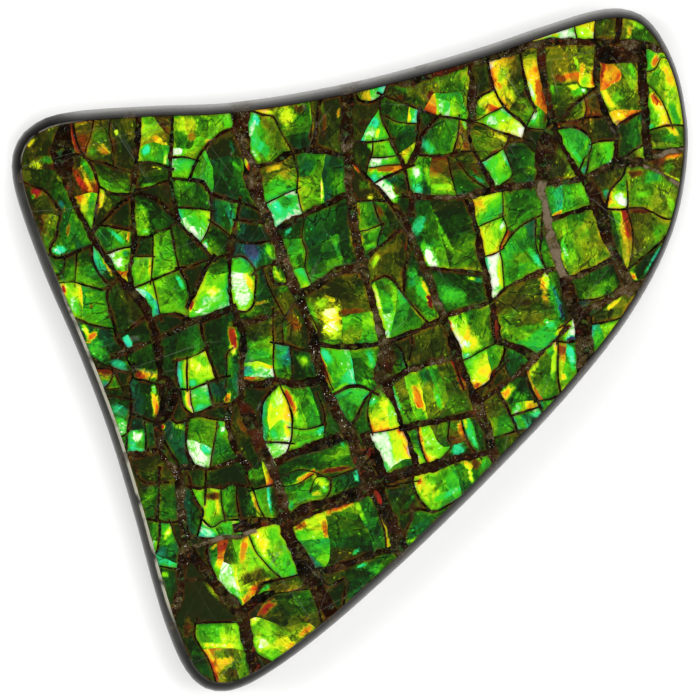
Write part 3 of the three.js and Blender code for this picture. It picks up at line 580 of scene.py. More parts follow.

# Flashes inside the facets, by shade: x, y, length, width and direction. The snow and white flashes are painted
# highlights.
FLASHES = {
    "umber": [
        (455, 205, 46, 12, 0), (522, 301, 26, 9, 0), (340, 555, 30, 15, 0),
    ],
    "moss": [
        (254, 578, 24, 13, 20), (456, 421, 11, 9, 0),
    ],
    "dusk": [
        (333, 165, 14, 10, -60), (263, 274, 16, 7, -75), (138, 401, 14, 5, -85), (218, 393, 20, 16, 0),
    ],
    "rust": [
        (64, 210, 5, 3, 90), (68, 231, 12, 3, 80), (91, 306, 6, 3, 80), (299, 109, 8, 7, 0),
        (324, 127, 26, 4, 85), (362, 124, 8, 5, 30), (359, 212, 16, 3, -85), (380, 212, 11, 6, -60),
        (401, 98, 8, 5, 0), (431, 95, 9, 5, 80), (495, 152, 14, 4, 25), (546, 118, 14, 4, 80),
        (562, 79, 11, 7, 0), (658, 164, 11, 8, 0), (440, 168, 15, 10, 0), (475, 171, 12, 5, -60),
        (636, 174, 16, 6, 10), (640, 212, 18, 3, 0), (293, 322, 22, 9, -60), (350, 312, 22, 5, 5),
        (212, 497, 16, 7, 0), (408, 249, 13, 6, -60), (243, 427, 20, 6, -65), (335, 470, 32, 5, 10),
        (477, 465, 12, 9, 0), (234, 673, 12, 9, 0), (187, 631, 24, 7, 80),
    ],
    "olive": [
        (36, 222, 14, 7, -60), (266, 124, 16, 8, -60), (400, 193, 16, 9, -30), (283, 619, 16, 11, 0),
    ],
    "pine": [
        (307, 166, 14, 10, 0), (424, 374, 14, 9, -60), (258, 291, 16, 8, -80), (283, 330, 18, 7, 90),
        (411, 500, 22, 5, 60),
    ],
    "grass": [
        (57, 137, 7, 3, 80), (46, 242, 16, 8, -50), (98, 138, 12, 9, 0), (109, 206, 14, 6, 80),
        (322, 108, 11, 4, -70), (484, 144, 13, 9, -60), (614, 34, 7, 4, -60), (641, 130, 18, 4, -75),
        (596, 240, 16, 12, 0), (520, 258, 18, 10, 0), (530, 318, 34, 11, 0), (236, 665, 18, 9, 60),
        (222, 655, 12, 8, 0), (212, 592, 22, 5, -50),
    ],
    "leaf": [
        (73, 247, 6, 6, 0), (33, 197, 5, 3, 60), (108, 184, 14, 10, 0), (92, 152, 9, 8, 0),
        (303, 122, 11, 9, 0), (337, 183, 11, 3, 80), (364, 186, 9, 8, 0), (238, 225, 12, 3, -75),
        (462, 83, 18, 4, 65), (402, 89, 11, 5, -30), (441, 132, 12, 6, -60), (481, 114, 12, 7, -60),
        (530, 171, 8, 6, 0), (670, 168, 10, 8, 0), (532, 198, 16, 8, -40), (428, 223, 16, 5, 60),
        (580, 217, 32, 8, 10), (660, 230, 16, 9, 0), (517, 272, 16, 9, 0), (522, 398, 12, 9, 0),
        (252, 311, 26, 6, 15), (285, 289, 10, 7, 0), (312, 312, 22, 9, -75), (230, 362, 22, 6, -85),
        (180, 427, 18, 5, -20), (149, 497, 22, 11, 60), (254, 476, 18, 12, 20), (272, 558, 28, 4, -60),
        (342, 452, 26, 10, 20), (463, 474, 20, 12, 0), (504, 427, 18, 14, 0), (598, 290, 26, 13, 20),
    ],
    "teal": [
        (62, 205, 7, 4, -60), (126, 254, 7, 7, 90), (232, 148, 14, 4, -75), (478, 179, 16, 4, -40),
        (607, 194, 13, 7, -60), (478, 281, 8, 5, 0), (556, 298, 30, 5, -68), (246, 371, 11, 9, 0),
        (120, 366, 15, 8, -30), (123, 412, 18, 11, 0), (314, 563, 16, 7, -40), (160, 552, 12, 9, 0),
    ],
    "blue": [
        (252, 252, 20, 12, -60), (561, 311, 20, 5, -72), (572, 339, 10, 5, 0),
    ],
    "green": [
        (48, 161, 16, 7, 0), (148, 186, 11, 4, 10), (88, 170, 28, 8, -62), (92, 199, 14, 4, 80),
        (235, 165, 12, 3, -50), (258, 131, 16, 8, -80), (277, 185, 16, 12, 60), (288, 202, 16, 12, 0),
        (336, 247, 20, 4, -70), (394, 148, 9, 4, -60), (369, 236, 11, 6, 20), (578, 92, 12, 8, 30),
        (675, 115, 18, 6, -70), (655, 73, 9, 6, 0), (668, 139, 14, 7, 20), (654, 178, 18, 10, 0),
        (622, 183, 14, 8, 70), (452, 296, 24, 13, -20), (423, 304, 24, 9, -60), (517, 241, 16, 11, 0),
        (551, 290, 36, 8, -72), (551, 350, 16, 7, -70), (435, 385, 30, 5, -68), (243, 268, 14, 9, 0),
        (364, 383, 12, 5, 20), (97, 350, 22, 13, -50), (205, 362, 14, 9, 0), (289, 566, 14, 11, 0),
        (277, 541, 22, 8, -60), (377, 569, 11, 7, 40), (303, 496, 28, 15, 30), (303, 441, 20, 9, 0),
        (484, 463, 16, 9, 60), (521, 424, 16, 6, -60), (421, 415, 18, 9, -70), (565, 365, 26, 6, -80),
        (555, 302, 36, 8, -72), (226, 528, 22, 10, 20), (265, 590, 15, 7, 60), (238, 601, 14, 7, -50),
    ],
    "lime": [
        (90, 295, 11, 5, 20), (160, 284, 10, 10, 0), (142, 222, 26, 13, -80), (143, 126, 8, 16, 0),
        (369, 247, 16, 4, 25), (376, 261, 11, 5, 60), (270, 254, 16, 5, -70), (455, 108, 20, 12, -60),
        (503, 76, 22, 10, 70), (577, 64, 16, 4, -70), (552, 88, 18, 3, -80), (584, 82, 14, 7, 60),
        (638, 25, 12, 5, -30), (654, 118, 14, 5, -70), (616, 99, 14, 9, 40), (632, 70, 14, 5, -70),
        (586, 146, 14, 4, 60), (428, 178, 24, 6, -80), (441, 188, 20, 6, 0), (441, 231, 30, 4, -65),
        (570, 246, 34, 8, -75), (643, 195, 12, 6, 0), (672, 205, 20, 6, -70), (612, 206, 11, 4, 10),
        (447, 241, 20, 3, -62), (518, 334, 30, 10, -20), (413, 378, 14, 11, -50), (367, 322, 16, 12, 10),
        (322, 305, 14, 11, 0), (331, 343, 18, 5, 0), (371, 322, 14, 7, -75), (303, 362, 13, 8, -70),
        (395, 298, 30, 6, -80), (303, 535, 14, 9, 20), (360, 513, 32, 6, -70), (262, 562, 30, 7, -50),
        (164, 575, 7, 5, 0), (226, 637, 26, 9, 80), (217, 571, 14, 7, -60),
    ],
    "jade": [
        (116, 236, 22, 5, -45), (262, 149, 18, 11, -40), (288, 232, 9, 4, 40), (427, 147, 16, 9, -60),
        (651, 127, 10, 5, 0), (419, 226, 16, 10, 60), (652, 262, 32, 3, 60), (413, 284, 10, 9, 0),
        (371, 359, 18, 7, -75), (192, 383, 12, 7, 0), (356, 552, 12, 4, 30), (362, 566, 9, 4, 30),
        (344, 448, 14, 4, -65), (290, 505, 16, 9, -40), (321, 430, 12, 7, 60), (459, 449, 16, 12, 40),
    ],
    "gold": [
        (37, 166, 9, 9, 60), (150, 268, 16, 2, 90), (85, 177, 28, 5, -68), (161, 143, 14, 5, -40),
        (311, 112, 16, 2, -85), (274, 169, 14, 4, 15), (361, 239, 11, 3, -70), (409, 117, 16, 2.5, -85),
        (411, 149, 13, 4, 60), (503, 139, 14, 4, -30), (471, 143, 18, 3, -65), (499, 86, 18, 4, -60),
        (556, 36, 7, 4, 0), (629, 33, 12, 4, -80), (667, 75, 20, 6, -65), (674, 157, 16, 4, 10),
        (608, 77, 14, 12, 0), (480, 204, 15, 6, -60), (560, 213, 18, 3, 25), (624, 236, 26, 3.5, -75),
        (634, 277, 9, 4, -60), (499, 245, 16, 5, 65), (500, 277, 24, 4, -80), (506, 393, 14, 8, 50),
        (269, 367, 9, 4, 0), (143, 374, 9, 4, 0), (155, 402, 26, 5, -85), (187, 376, 26, 5, -88),
        (218, 506, 14, 5, -85), (256, 504, 26, 5, -70), (341, 510, 11, 4, 20), (404, 450, 16, 5, -75),
        (316, 494, 16, 5, 10), (468, 465, 12, 5, -30), (562, 377, 11, 6, 0), (613, 304, 16, 4, 45),
        (226, 664, 16, 11, 0), (214, 670, 10, 6, 0), (266, 583, 10, 4, 60), (291, 648, 24, 9, 30),
    ],
    "orange": [
        (108, 268, 15, 3, -60), (104, 151, 12, 9, -50), (128, 240, 10, 2, 80), (192, 137, 9, 7, 0),
        (209, 142, 9, 4, 30), (339, 113, 10, 3, 80), (386, 170, 18, 4, 10), (355, 167, 11, 3, -60),
        (404, 153, 10, 6, 50), (493, 109, 16, 6, -25), (539, 92, 24, 6, -75), (573, 77, 20, 9, 10),
        (582, 71, 12, 4, 80), (655, 62, 10, 5, 60), (618, 77, 12, 4, 60), (504, 238, 18, 7, 70),
        (629, 250, 18, 4, -80), (421, 256, 14, 4, -60), (418, 314, 20, 3, -48), (450, 327, 13, 6, -75),
        (474, 386, 14, 6, 20), (544, 290, 24, 6, -80), (419, 400, 30, 7, -75), (262, 303, 12, 4, 20),
        (248, 379, 13, 4, 0), (289, 398, 30, 5, -65), (228, 397, 12, 6, 70), (92, 337, 15, 7, 50),
        (147, 375, 24, 9, 5), (162, 427, 8, 5, 0), (325, 530, 18, 5, -80), (300, 527, 12, 6, 30),
        (338, 509, 28, 6, 20), (244, 549, 26, 6, 80), (308, 476, 24, 5, 30), (419, 483, 12, 5, 60),
        (461, 429, 16, 6, -80), (428, 463, 9, 5, 0), (533, 404, 10, 7, 0), (562, 350, 12, 7, 0),
        (562, 330, 14, 6, 60), (305, 632, 16, 7, 40), (214, 547, 8, 3, 40), (249, 595, 22, 7, 50),
    ],
    "red": [
        (64, 290, 8, 3, -70), (79, 179, 24, 7, -68), (192, 305, 13, 4, 70), (357, 242, 28, 10, -80),
        (353, 206, 12, 6, 0), (543, 98, 14, 3, -75), (656, 101, 16, 7, -60), (602, 73, 18, 4, 80),
        (628, 225, 30, 6, -80), (233, 338, 26, 7, -80), (139, 375, 9, 7, 0), (266, 609, 18, 9, 45),
    ],
    "crimson": [
        (36, 193, 10, 8, 45), (458, 371, 34, 7, -68), (322, 367, 36, 7, -68), (429, 302, 14, 5, -75),
    ],
    "yellow": [
        (30, 143, 9, 6, 60), (116, 132, 7, 3, -70), (84, 206, 18, 6, 85), (101, 199, 20, 5, 80),
        (186, 125, 16, 18, 80), (251, 286, 14, 6, -60), (286, 115, 18, 14, -60), (370, 198, 7, 6, 60),
        (487, 99, 14, 9, 30), (510, 94, 14, 8, -60), (574, 87, 14, 7, -40), (661, 111, 26, 7, -60),
        (673, 131, 12, 6, -50), (671, 177, 20, 2.5, -25), (608, 100, 18, 7, -60), (622, 118, 12, 6, -30),
        (563, 259, 22, 3, -75), (603, 240, 22, 3, -60), (425, 288, 24, 3.5, -68), (532, 371, 16, 9, 55),
        (277, 275, 20, 10, -55), (86, 332, 14, 5, -65), (397, 440, 30, 13, -80), (425, 488, 22, 14, -40),
        (413, 541, 9, 5, 30), (466, 424, 16, 5, -75), (208, 655, 18, 6, -60), (281, 643, 18, 9, 20),
    ],
    "mint": [
        (179, 281, 12, 4, -60), (204, 302, 14, 8, 50), (223, 305, 14, 8, 0), (253, 133, 46, 11, -80),
        (505, 112, 12, 5, -40), (507, 161, 18, 4, -60), (577, 156, 16, 4, -50), (421, 292, 36, 8, -65),
        (465, 356, 12, 5, 20), (496, 289, 11, 5, 30), (537, 261, 24, 6, -60), (549, 324, 11, 6, -40),
        (438, 399, 16, 6, -70), (122, 428, 16, 10, -70), (199, 408, 20, 9, 20), (222, 425, 14, 5, -75),
        (274, 435, 14, 9, -60), (357, 475, 13, 5, -75), (387, 468, 15, 7, -50), (456, 491, 34, 5, 25),
        (470, 432, 36, 7, -70), (396, 400, 32, 5, -70), (235, 592, 16, 7, -40),
    ],
    "cyan": [
        (59, 251, 10, 8, 30), (146, 150, 9, 7, 60), (206, 246, 9, 5, -60), (256, 121, 16, 6, -75),
        (276, 206, 18, 6, -55), (376, 123, 9, 6, 60), (534, 118, 14, 7, 60), (611, 163, 9, 5, 80),
        (418, 190, 9, 10, 0), (488, 263, 22, 5, -75), (326, 356, 16, 7, -60), (372, 402, 16, 8, 30),
        (386, 334, 11, 5, 0), (128, 342, 11, 6, -60), (207, 450, 12, 10, 0), (269, 503, 26, 5, -80),
        (537, 412, 11, 8, 0), (474, 441, 24, 4, -68), (571, 357, 24, 8, -70), (207, 533, 16, 7, -20),
    ],
    "lemon": [
        (37, 164, 5, 5, 0), (156, 168, 7, 2, -10), (166, 159, 12, 4, 80), (205, 117, 8, 3, -30),
        (213, 291, 12, 8, 40), (264, 112, 18, 4, -10), (321, 191, 26, 4, -85), (378, 133, 11, 4, 70),
        (514, 126, 16, 8, -40), (531, 77, 28, 7, -75), (679, 95, 50, 3, -77), (472, 279, 9, 3, -10),
        (464, 336, 42, 19, -55), (480, 374, 16, 9, 30), (548, 282, 24, 8, -80), (554, 362, 36, 5, 85),
        (249, 282, 16, 7, -60), (331, 322, 38, 17, -85), (277, 405, 38, 11, -80), (343, 388, 18, 5, 30),
        (388, 408, 24, 11, -60), (377, 297, 38, 4, -75), (233, 350, 10, 6, -80), (195, 366, 14, 13, 60),
        (189, 398, 22, 6, -75), (287, 430, 14, 6, -80), (262, 543, 26, 11, -70), (316, 520, 22, 10, 20),
        (322, 483, 16, 10, -65), (430, 487, 12, 8, -40), (470, 474, 24, 4, -70), (433, 459, 16, 8, 0),
        (567, 329, 14, 6, 50), (169, 532, 13, 6, 60), (222, 646, 32, 5, 0), (205, 523, 12, 5, -40),
        (233, 524, 10, 5, 30), (264, 645, 16, 14, 0), (252, 622, 12, 6, 40), (237, 575, 16, 6, -75),
    ],
    "snow": [
        (145, 231, 8, 6, 0), (199, 311, 9, 4, 60), (255, 154, 18, 5, -65), (293, 218, 22, 4, 25),
        (371, 148, 10, 5, -60), (378, 174, 12, 5, -30), (441, 105, 22, 7, 85), (464, 123, 12, 4, -70),
        (491, 121, 9, 9, 0), (583, 91, 7, 6, 0), (417, 174, 14, 8, -80), (503, 225, 9, 3, 60),
        (565, 250, 18, 5, -75), (296, 285, 14, 7, -60), (388, 322, 26, 9, -80), (154, 390, 10, 5, -85),
        (206, 389, 11, 9, 0), (516, 411, 13, 6, 60),
    ],
    "white": [
        (74, 308, 14, 9, -70), (119, 262, 11, 9, 60), (177, 152, 10, 6, 0), (187, 226, 22, 7, -50),
        (239, 288, 28, 12, -75), (370, 135, 16, 9, 60), (377, 160, 11, 8, 80), (386, 190, 26, 11, -45),
        (521, 131, 7, 7, -60), (532, 92, 22, 4, -75), (568, 34, 16, 8, 10), (621, 201, 15, 9, -60),
        (429, 257, 24, 9, -60), (466, 342, 20, 10, -55), (494, 277, 28, 9, -75), (241, 291, 32, 16, -70),
        (135, 438, 12, 10, 0), (277, 447, 14, 10, 0), (386, 449, 34, 10, -80), (324, 488, 10, 5, -60),
        (571, 332, 16, 7, 70), (262, 646, 10, 9, 0), (229, 580, 28, 11, -65),
    ],
}

# How each vein filling looks: how far it goes from near-black to brown to tan, how much of it sparkles and
# how much of it is rusty red.
FILLINGS = {
    "dark": (0.16, 0.25, 0.18),
    "brown": (0.40, 0.60, 0.26),
    "rust": (0.36, 0.30, 0.65),
    "sugar": (0.32, 1.50, 0.15),
    "calcite": (0.90, 0.35, 0.0),
}


def grid_point(x, y):
    """A point of the drawing grid as a place on the stone, in metres."""
    return Vector(((x - GRID_MIDDLE[0]) * GRID_STEP, (GRID_MIDDLE[1] - y) * GRID_STEP))


def length_property(name, description, default):
    return FloatProperty(name=name, description=description, default=default, unit="LENGTH")


def angle_property(name, description, degrees):
    return FloatProperty(name=name, description=description, default=math.radians(degrees), subtype="ANGLE")


def color_property(name, description, default):
    return FloatVectorProperty(
        name=name, description=description, default=default, subtype="COLOR", min=0, max=1)


class StoneSizes(bpy.types.PropertyGroup):
    back_bevel: length_property("Back bevel", "Bevel round the flat back", 0.0005)
    side_top: length_property("Side top", "Height at which the side rounds in to the face", 0.0037)
    round_end: angle_property("Rounding", "How far the rounded edge has turned at the face", 62)
    round_steps: IntProperty(
        name="Rounding steps", description="Strips in the rounded edge", default=12, min=3)
    lip: length_property("Lip", "Shale left between the rounded edge and the shell", 0.00004)
    bed_depth: length_property("Bed depth", "How deep the shell and veins sit in the shale", 0.0005)
    vein_depth: length_property("Vein depth", "How far the vein filling is polished below the shell", 0.00009)
    vein_relief: length_property("Vein relief", "Height of the grains in the vein filling", 0.00005)
    fragment_bevel: length_property("Fragment bevel", "Rubbed edge of a shell fragment", 0.00002)
    fragment_tilt: angle_property("Fragment tilt", "How far the fragments lean from the face", 0.35)
    seed: IntProperty(name="Seed", description="Start of the random draws", default=7)


class StoneColors(bpy.types.PropertyGroup):
    shale: color_property("Shale", "Dark shale of the side and back", (0.030, 0.030, 0.026))
    vein: color_property("Vein", "Darkest vein filling", (0.0018, 0.0012, 0.0004))
    ironstone: color_property("Ironstone", "Brown vein filling", (0.0235, 0.0165, 0.0040))
    calcite: color_property("Calcite", "Tan vein filling", (0.120, 0.090, 0.056))
    amber: color_property("Amber", "Body colour of the shell where it plays least", (0.0070, 0.0085, 0.0036))
    # The glint is the white of a painted highlight, mixed in where the shell glows brightest.
    glint: color_property("Glint", "Brightest play of the shell", (0.66, 0.72, 0.56))
    floor: color_property("Floor", "Plain pale floor", (0.93, 0.93, 0.92))


def sizes():
    return bpy.context.scene.ammolite_sizes


def colors():
    return bpy.context.scene.ammolite_colors


# ---------------------------------------------------------------- mesh helpers

def deselect_everything():
    for item in bpy.context.view_layer.objects:
        item.select_set(False)


def new_piece(name, vertices, faces):
    mesh = bpy.data.meshes.new(name)
    mesh.from_pydata(vertices, [], faces)
    mesh.update()
    piece = bpy.data.objects.new(name, mesh)
    bpy.context.scene.collection.objects.link(piece)
    return piece


# Points closer than this are one point, in metres.
SAME_POINT = 1e-7


def slice_of_node(height):
    """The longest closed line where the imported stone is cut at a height, as ordered points."""
    cut = bmesh.new()
    cut.from_mesh(frame["nodes"][NODE].data)
    bmesh.ops.remove_doubles(cut, verts=cut.verts, dist=SAME_POINT)
    geometry = cut.verts[:] + cut.edges[:] + cut.faces[:]
    result = bmesh.ops.bisect_plane(
        cut, geom=geometry, plane_co=(0, 0, height), plane_no=(0, 0, 1), dist=SAME_POINT / 10)
    edges = [item for item in result["geom_cut"] if isinstance(item, bmesh.types.BMEdge)]
    joined = {}
    for edge in edges:
        a, b = edge.verts
        joined.setdefault(a, []).append(b)
        joined.setdefault(b, []).append(a)
    loops = []
    left = set(joined)
    while left:
        start = min(left, key=lambda v: (v.co.x, v.co.y))
        loop = [start]
        left.discard(start)
        while True:
            onward = [v for v in joined[loop[-1]] if v in left]
            if not onward:
                break
            loop.append(onward[0])
            left.discard(onward[0])
        loops.append([v.co.xy.copy() for v in loop])
    cut.free()
    longest = max(loops, key=lambda loop: sum((a - b).length for a, b in zip(loop, loop[1:])))
    area = sum(a.cross(b) for a, b in zip(longest, longest[1:] + longest[:1]))
    return longest if area > 0 else longest[::-1]


def even_loop(points, count):
    """The same closed line with its points at equal steps."""
    ring = np.array([tuple(p) for p in points] + [tuple(points[0])])
    lengths = np.hypot(*np.diff(ring, axis=0).T)
    along = np.concatenate([[0], np.cumsum(lengths)])
    wanted = np.linspace(0, along[-1], count, endpoint=False)
    xs, ys = (np.interp(wanted, along, ring[:, k]) for k in (0, 1))
    return [Vector(p) for p in zip(xs, ys)]


def inward_normals(loop):
    count = len(loop)
    normals = []
    for i in range(count):
        run = loop[(i + 1) % count] - loop[i - 1]
        normals.append(Vector((-run.y, run.x)).normalized())
    return normals


OUTLINE_POINTS = 400
# The outline is taken at this height over the back, in metres.
MIDDLE_HEIGHT = 0.002
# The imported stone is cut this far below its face, under its vein grooves, and there the edge has turned in by
# FACE_CUT_SHARE of its width.
FACE_CUT = 0.00025
FACE_CUT_SHARE = 0.734
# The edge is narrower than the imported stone's by up to EDGE_TRIM, most on the steep side and less on the
# left and right. STEEP_SIDE is an outward direction.
STEEP_SIDE = Vector((0.80, -0.60)).normalized()
EDGE_TRIM = 0.00017
LEVEL_TRIM = 0.45
# The width is averaged over this many points each way.
WIDTH_SPREAD = 4


def stone_outline():
    """The stone's outline, its inward normals and the width of the rounded edge at each point."""
    loop = even_loop(slice_of_node(LOW.z + MIDDLE_HEIGHT), OUTLINE_POINTS)
    face = np.array([tuple(p) for p in even_loop(slice_of_node(HIGH.z - FACE_CUT), 4 * OUTLINE_POINTS)])
    widths = []
    for point in loop:
        widths.append(float(np.min(np.hypot(face[:, 0] - point.x, face[:, 1] - point.y))) / FACE_CUT_SHARE)
    normals = inward_normals(loop)
    smooth = []
    for i, normal in enumerate(normals):
        near = [widths[(i + k) % OUTLINE_POINTS] for k in range(-WIDTH_SPREAD, WIDTH_SPREAD + 1)]
        steep = max(0.0, -normal.dot(STEEP_SIDE))
        smooth.append(sum(near) / len(near) - EDGE_TRIM * min(1.0, LEVEL_TRIM * abs(normal.x) + steep))
    return loop, normals, smooth


def ring_at(outline, inset, share):
    """The outline moved inward by a length and by a share of the rounded edge's width."""
    loop, normals, widths = outline
    return [p + n * (inset + share * w) for p, n, w in zip(loop, normals, widths)]


# ---------------------------------------------------------------- crack map

# In grid steps: the distance between points along a line, how far a crack and a break run past their ends,
# how much the sides of cracks and veins stray, and the least half width that is left.
RIBBON_STEP = 3.5
RIBBON_REACH = 3.2
BREAK_REACH = 6.0
WOBBLE = 0.9
VEIN_WOBBLE = 1.6 * WOBBLE
LEAST_HALF_WIDTH = 0.3
# The sides stray by no more than this share of the width, and a crack is drawn at this share of its listed
# width.
STRAY_SHARE = 0.30
CRACK_SHARE = 0.66
# The stirring of a crack's sides: how fine it is, its height in the noise and how strong it is.
SIDE_STIRS = [(0.05, 7.3, 1.6), (0.17, 3.1, 1.2), (0.45, 5.7, 0.6)]


def smooth_line(points):
    """Points along a smooth curve through the given rows of x, y and width."""
    rows = np.array(points, float)
    rows = np.vstack([2 * rows[0] - rows[1], rows, 2 * rows[-1] - rows[-2]])
    out = []
    for i in range(1, len(rows) - 2):
        before, start, end, after = rows[i - 1:i + 3]
        steps = max(1, int(round(np.hypot(*(end - start)[:2]) / RIBBON_STEP)))
        for k in range(steps):
            t = k / steps
            bend = 2 * before - 5 * start + 4 * end - after
            twist = 3 * start - before - 3 * end + after
            out.append(0.5 * (2 * start + (end - before) * t + bend * t * t + twist * t ** 3))
    out.append(rows[-2])
    return np.array(out)


def ribbon(points, wobble):
    """The outline of a crack or vein as one closed anticlockwise polygon on the stone, in metres."""
    path = smooth_line(points)
    run = np.gradient(path[:, :2], axis=0)
    run /= np.hypot(run[:, 0], run[:, 1])[:, None]
    path[0, :2] -= run[0] * RIBBON_REACH
    path[-1, :2] += run[-1] * RIBBON_REACH
    side = np.stack([-run[:, 1], run[:, 0]], axis=1)
    left, right = [], []
    for (x, y, width), normal in zip(path, side):
        for edge, sign in ((left, 1), (right, -1)):
            stir = sum(noise.noise(Vector((x * fine, y * fine, sign * layer))) * much
                       for fine, layer, much in SIDE_STIRS)
            away = max(LEAST_HALF_WIDTH, width / 2 + stir * min(wobble, width * STRAY_SHARE))
            edge.append(grid_point(x + normal[0] * away * sign, y + normal[1] * away * sign))
    polygon = right + left[::-1]
    area = sum(a.cross(b) for a, b in zip(polygon, polygon[1:] + polygon[:1]))
    return polygon if area > 0 else polygon[::-1]


def crack_ribbons():
    """Every vein and crack as a polygon with the name of its filling."""
    ribbons = [(ribbon(points, VEIN_WOBBLE), filling) for filling, points in VEINS]
    for width, points in CRACKS:
        rows = [(x, y, width * CRACK_SHARE) for x, y in points]
        ribbons.append((ribbon(rows, WOBBLE), "dark"))
    return ribbons


CHIP_POINTS = 16
CHIP_STIR = 0.35


def chip_outline(x, y, length, width, direction):
    """A slightly stirred oval, as a closed anticlockwise polygon on the stone, in metres."""
    turn = math.radians(direction)
    along = Vector((math.cos(turn), -math.sin(turn)))
    across = Vector((math.sin(turn), math.cos(turn)))
    outline = []
    for k in range(CHIP_POINTS):
        t = math.tau * k / CHIP_POINTS
        swell = 1 + CHIP_STIR * noise.noise(Vector((x + 3 * math.cos(t), y + 3 * math.sin(t), 2.0)))
        offset = along * (length / 2 * math.cos(t)) - across * (width / 2 * math.sin(t) * swell)
        outline.append(grid_point(x + offset.x, y + offset.y))
    return outline


# How far a break sways and how far a lattice point is stirred, in grid steps, and how fine each movement is.
BREAK_SWAY = 1.4
BREAK_SWAY_SCALE = 0.13
LATTICE_STIR = 0.5
LATTICE_STIR_SCALE = 0.7
# The lattice that fills the face: the distance between points in grid steps, and between rows as a share of
# it.
MESH_STEP = 2.2
ROW_SHARE = 0.866


def break_line(points):
    """A break as a wavering line on the stone, in metres."""
    first, second, before_last, last = (Vector(points[i]) for i in (0, 1, -2, -1))
    start = first + (first - second).normalized() * BREAK_REACH
    end = last + (last - before_last).normalized() * BREAK_REACH
    line = []
    for x, y, _ in smooth_line([(x, y, 0.0) for x, y in [tuple(start), *points, tuple(end)]]):
        sway = noise.noise_vector(Vector((x * BREAK_SWAY_SCALE, y * BREAK_SWAY_SCALE, 5.0))) * BREAK_SWAY
        line.append(grid_point(x + sway.x, y + sway.y))
    return line


def interior_points(edge_loop):
    """Points of a slightly stirred triangular lattice inside the face."""
    ring = np.array([tuple(p) for p in edge_loop])
    following = np.roll(ring, -1, axis=0)
    points = []
    row = 0
    y = 0.0
    while y < GRID_SIZE:
        x = MESH_STEP * 0.5 * (row % 2)
        while x < GRID_SIZE:
            spot = Vector((x * LATTICE_STIR_SCALE, y * LATTICE_STIR_SCALE, 0.0))
            stir = noise.noise_vector(spot) * LATTICE_STIR
            points.append(tuple(grid_point(x + stir.x, y + stir.y)))
            x += MESH_STEP
        y += MESH_STEP * ROW_SHARE
        row += 1
    points = np.array(points)
    crossings = np.zeros(len(points), int)
    for (ax, ay), (bx, by) in zip(ring, following):
        if ay == by:
            continue
        spans = (points[:, 1] >= min(ay, by)) & (points[:, 1] < max(ay, by))
        crossings += spans & (points[:, 0] < ax + (points[:, 1] - ay) * (bx - ax) / (by - ay))
    return [Vector(p) for p in points[crossings % 2 == 1]]


# Smaller scraps of shell than this become vein, in square metres.
SMALLEST_FRAGMENT = 6e-9
# Without a start of its own, the noise that moves the breaks and the lattice starts from the clock.
NOISE_SEED = 6
# The face is triangulated in millimetres, and points closer than this are then one point.
METRE = 1000.0
SAME_CORNER = 1e-5


def face_map(edge_loop):
    """The face cut up by its ribbons: points, the facets of each fragment and the triangles of the veins."""
    noise.seed_set(NOISE_SEED)
    ribbons = crack_ribbons()
    points = list(edge_loop)
    polygons = [list(range(len(points)))]
    for polygon, _ in ribbons:
        polygons.append(list(range(len(points), len(points) + len(polygon))))
        points += polygon
    first_chip = len(polygons)
    for chip in CHIPS:
        outline = chip_outline(*chip)
        polygons.append(list(range(len(points), len(points) + len(outline))))
        points += outline
    lines = []
    for chain in BREAKS:
        line = break_line(chain)
        lines += [(len(points) + i, len(points) + i + 1) for i in range(len(line) - 1)]
        points += line
    points += interior_points(edge_loop)
    flat = [point * METRE for point in points]
    places, edges, triangles, _, origins, inside = delaunay_2d_cdt(
        flat, lines, polygons, 0, SAME_CORNER, True)
    places = [place / METRE for place in places]
    broken = set()
    for edge, origin in zip(edges, origins):
        if any(i < len(lines) for i in origin):
            broken.add(tuple(sorted(edge)))
    shell, veins = [], []
    for triangle, homes in zip(triangles, inside):
        if 0 not in homes:
            continue
        cover = [home - 1 for home in homes if 0 < home < first_chip]
        if cover and max(homes) < first_chip:
            veins.append((triangle, ribbons[min(cover)][1]))
        else:
            shell.append(triangle)
    fragments = []
    for group in connected(shell, ()):
        area = sum(triangle_area(places, triangle) for triangle in group)
        if area < SMALLEST_FRAGMENT:
            veins += [(triangle, "dark") for triangle in group]
        else:
            fragments.append(connected(group, broken))
    return places, fragments, veins


def triangle_area(places, triangle):
    a, b, c = (places[i] for i in triangle)
    return abs((b - a).cross(c - a)) / 2


def connected(triangles, walls):
    """Triangles grouped into patches that share edges, other than the edges in walls."""
    owner = list(range(len(triangles)))

    def root(i):
        while owner[i] != i:
            owner[i] = owner[owner[i]]
            i = owner[i]
        return i

    by_edge = {}
    for i, triangle in enumerate(triangles):
        for a, b in zip(triangle, triangle[1:] + triangle[:1]):
            key = (min(a, b), max(a, b))
            if key in walls:
                continue
            if key in by_edge:
                owner[root(i)] = root(by_edge[key])
            else:
                by_edge[key] = i
    patches = {}
    for i, triangle in enumerate(triangles):
        patches.setdefault(root(i), []).append(triangle)
    return [patches[key] for key in sorted(patches)]


def border_edges(triangles):
    """Edges on the border of a patch, with the patch on their left."""
    edges = {}
    for triangle in triangles:
        for a, b in zip(triangle, triangle[1:] + triangle[:1]):
            if (b, a) in edges:
                del edges[(b, a)]
            else:
                edges[(a, b)] = True
    return list(edges)


def single_loop(border):
    """The border as one ordered loop, or nothing where it is made of several or touches itself."""
    following = dict(border)
    if len(following) < len(border):
        return []
    loop = [border[0][0]]
    while following[loop[-1]] != loop[0]:
        loop.append(following[loop[-1]])
    return loop if len(loop) == len(border) else []


# Where the pushes from the two sides of a border point leave less than this, the point stays in its place.
LEAST_PUSH = 0.2


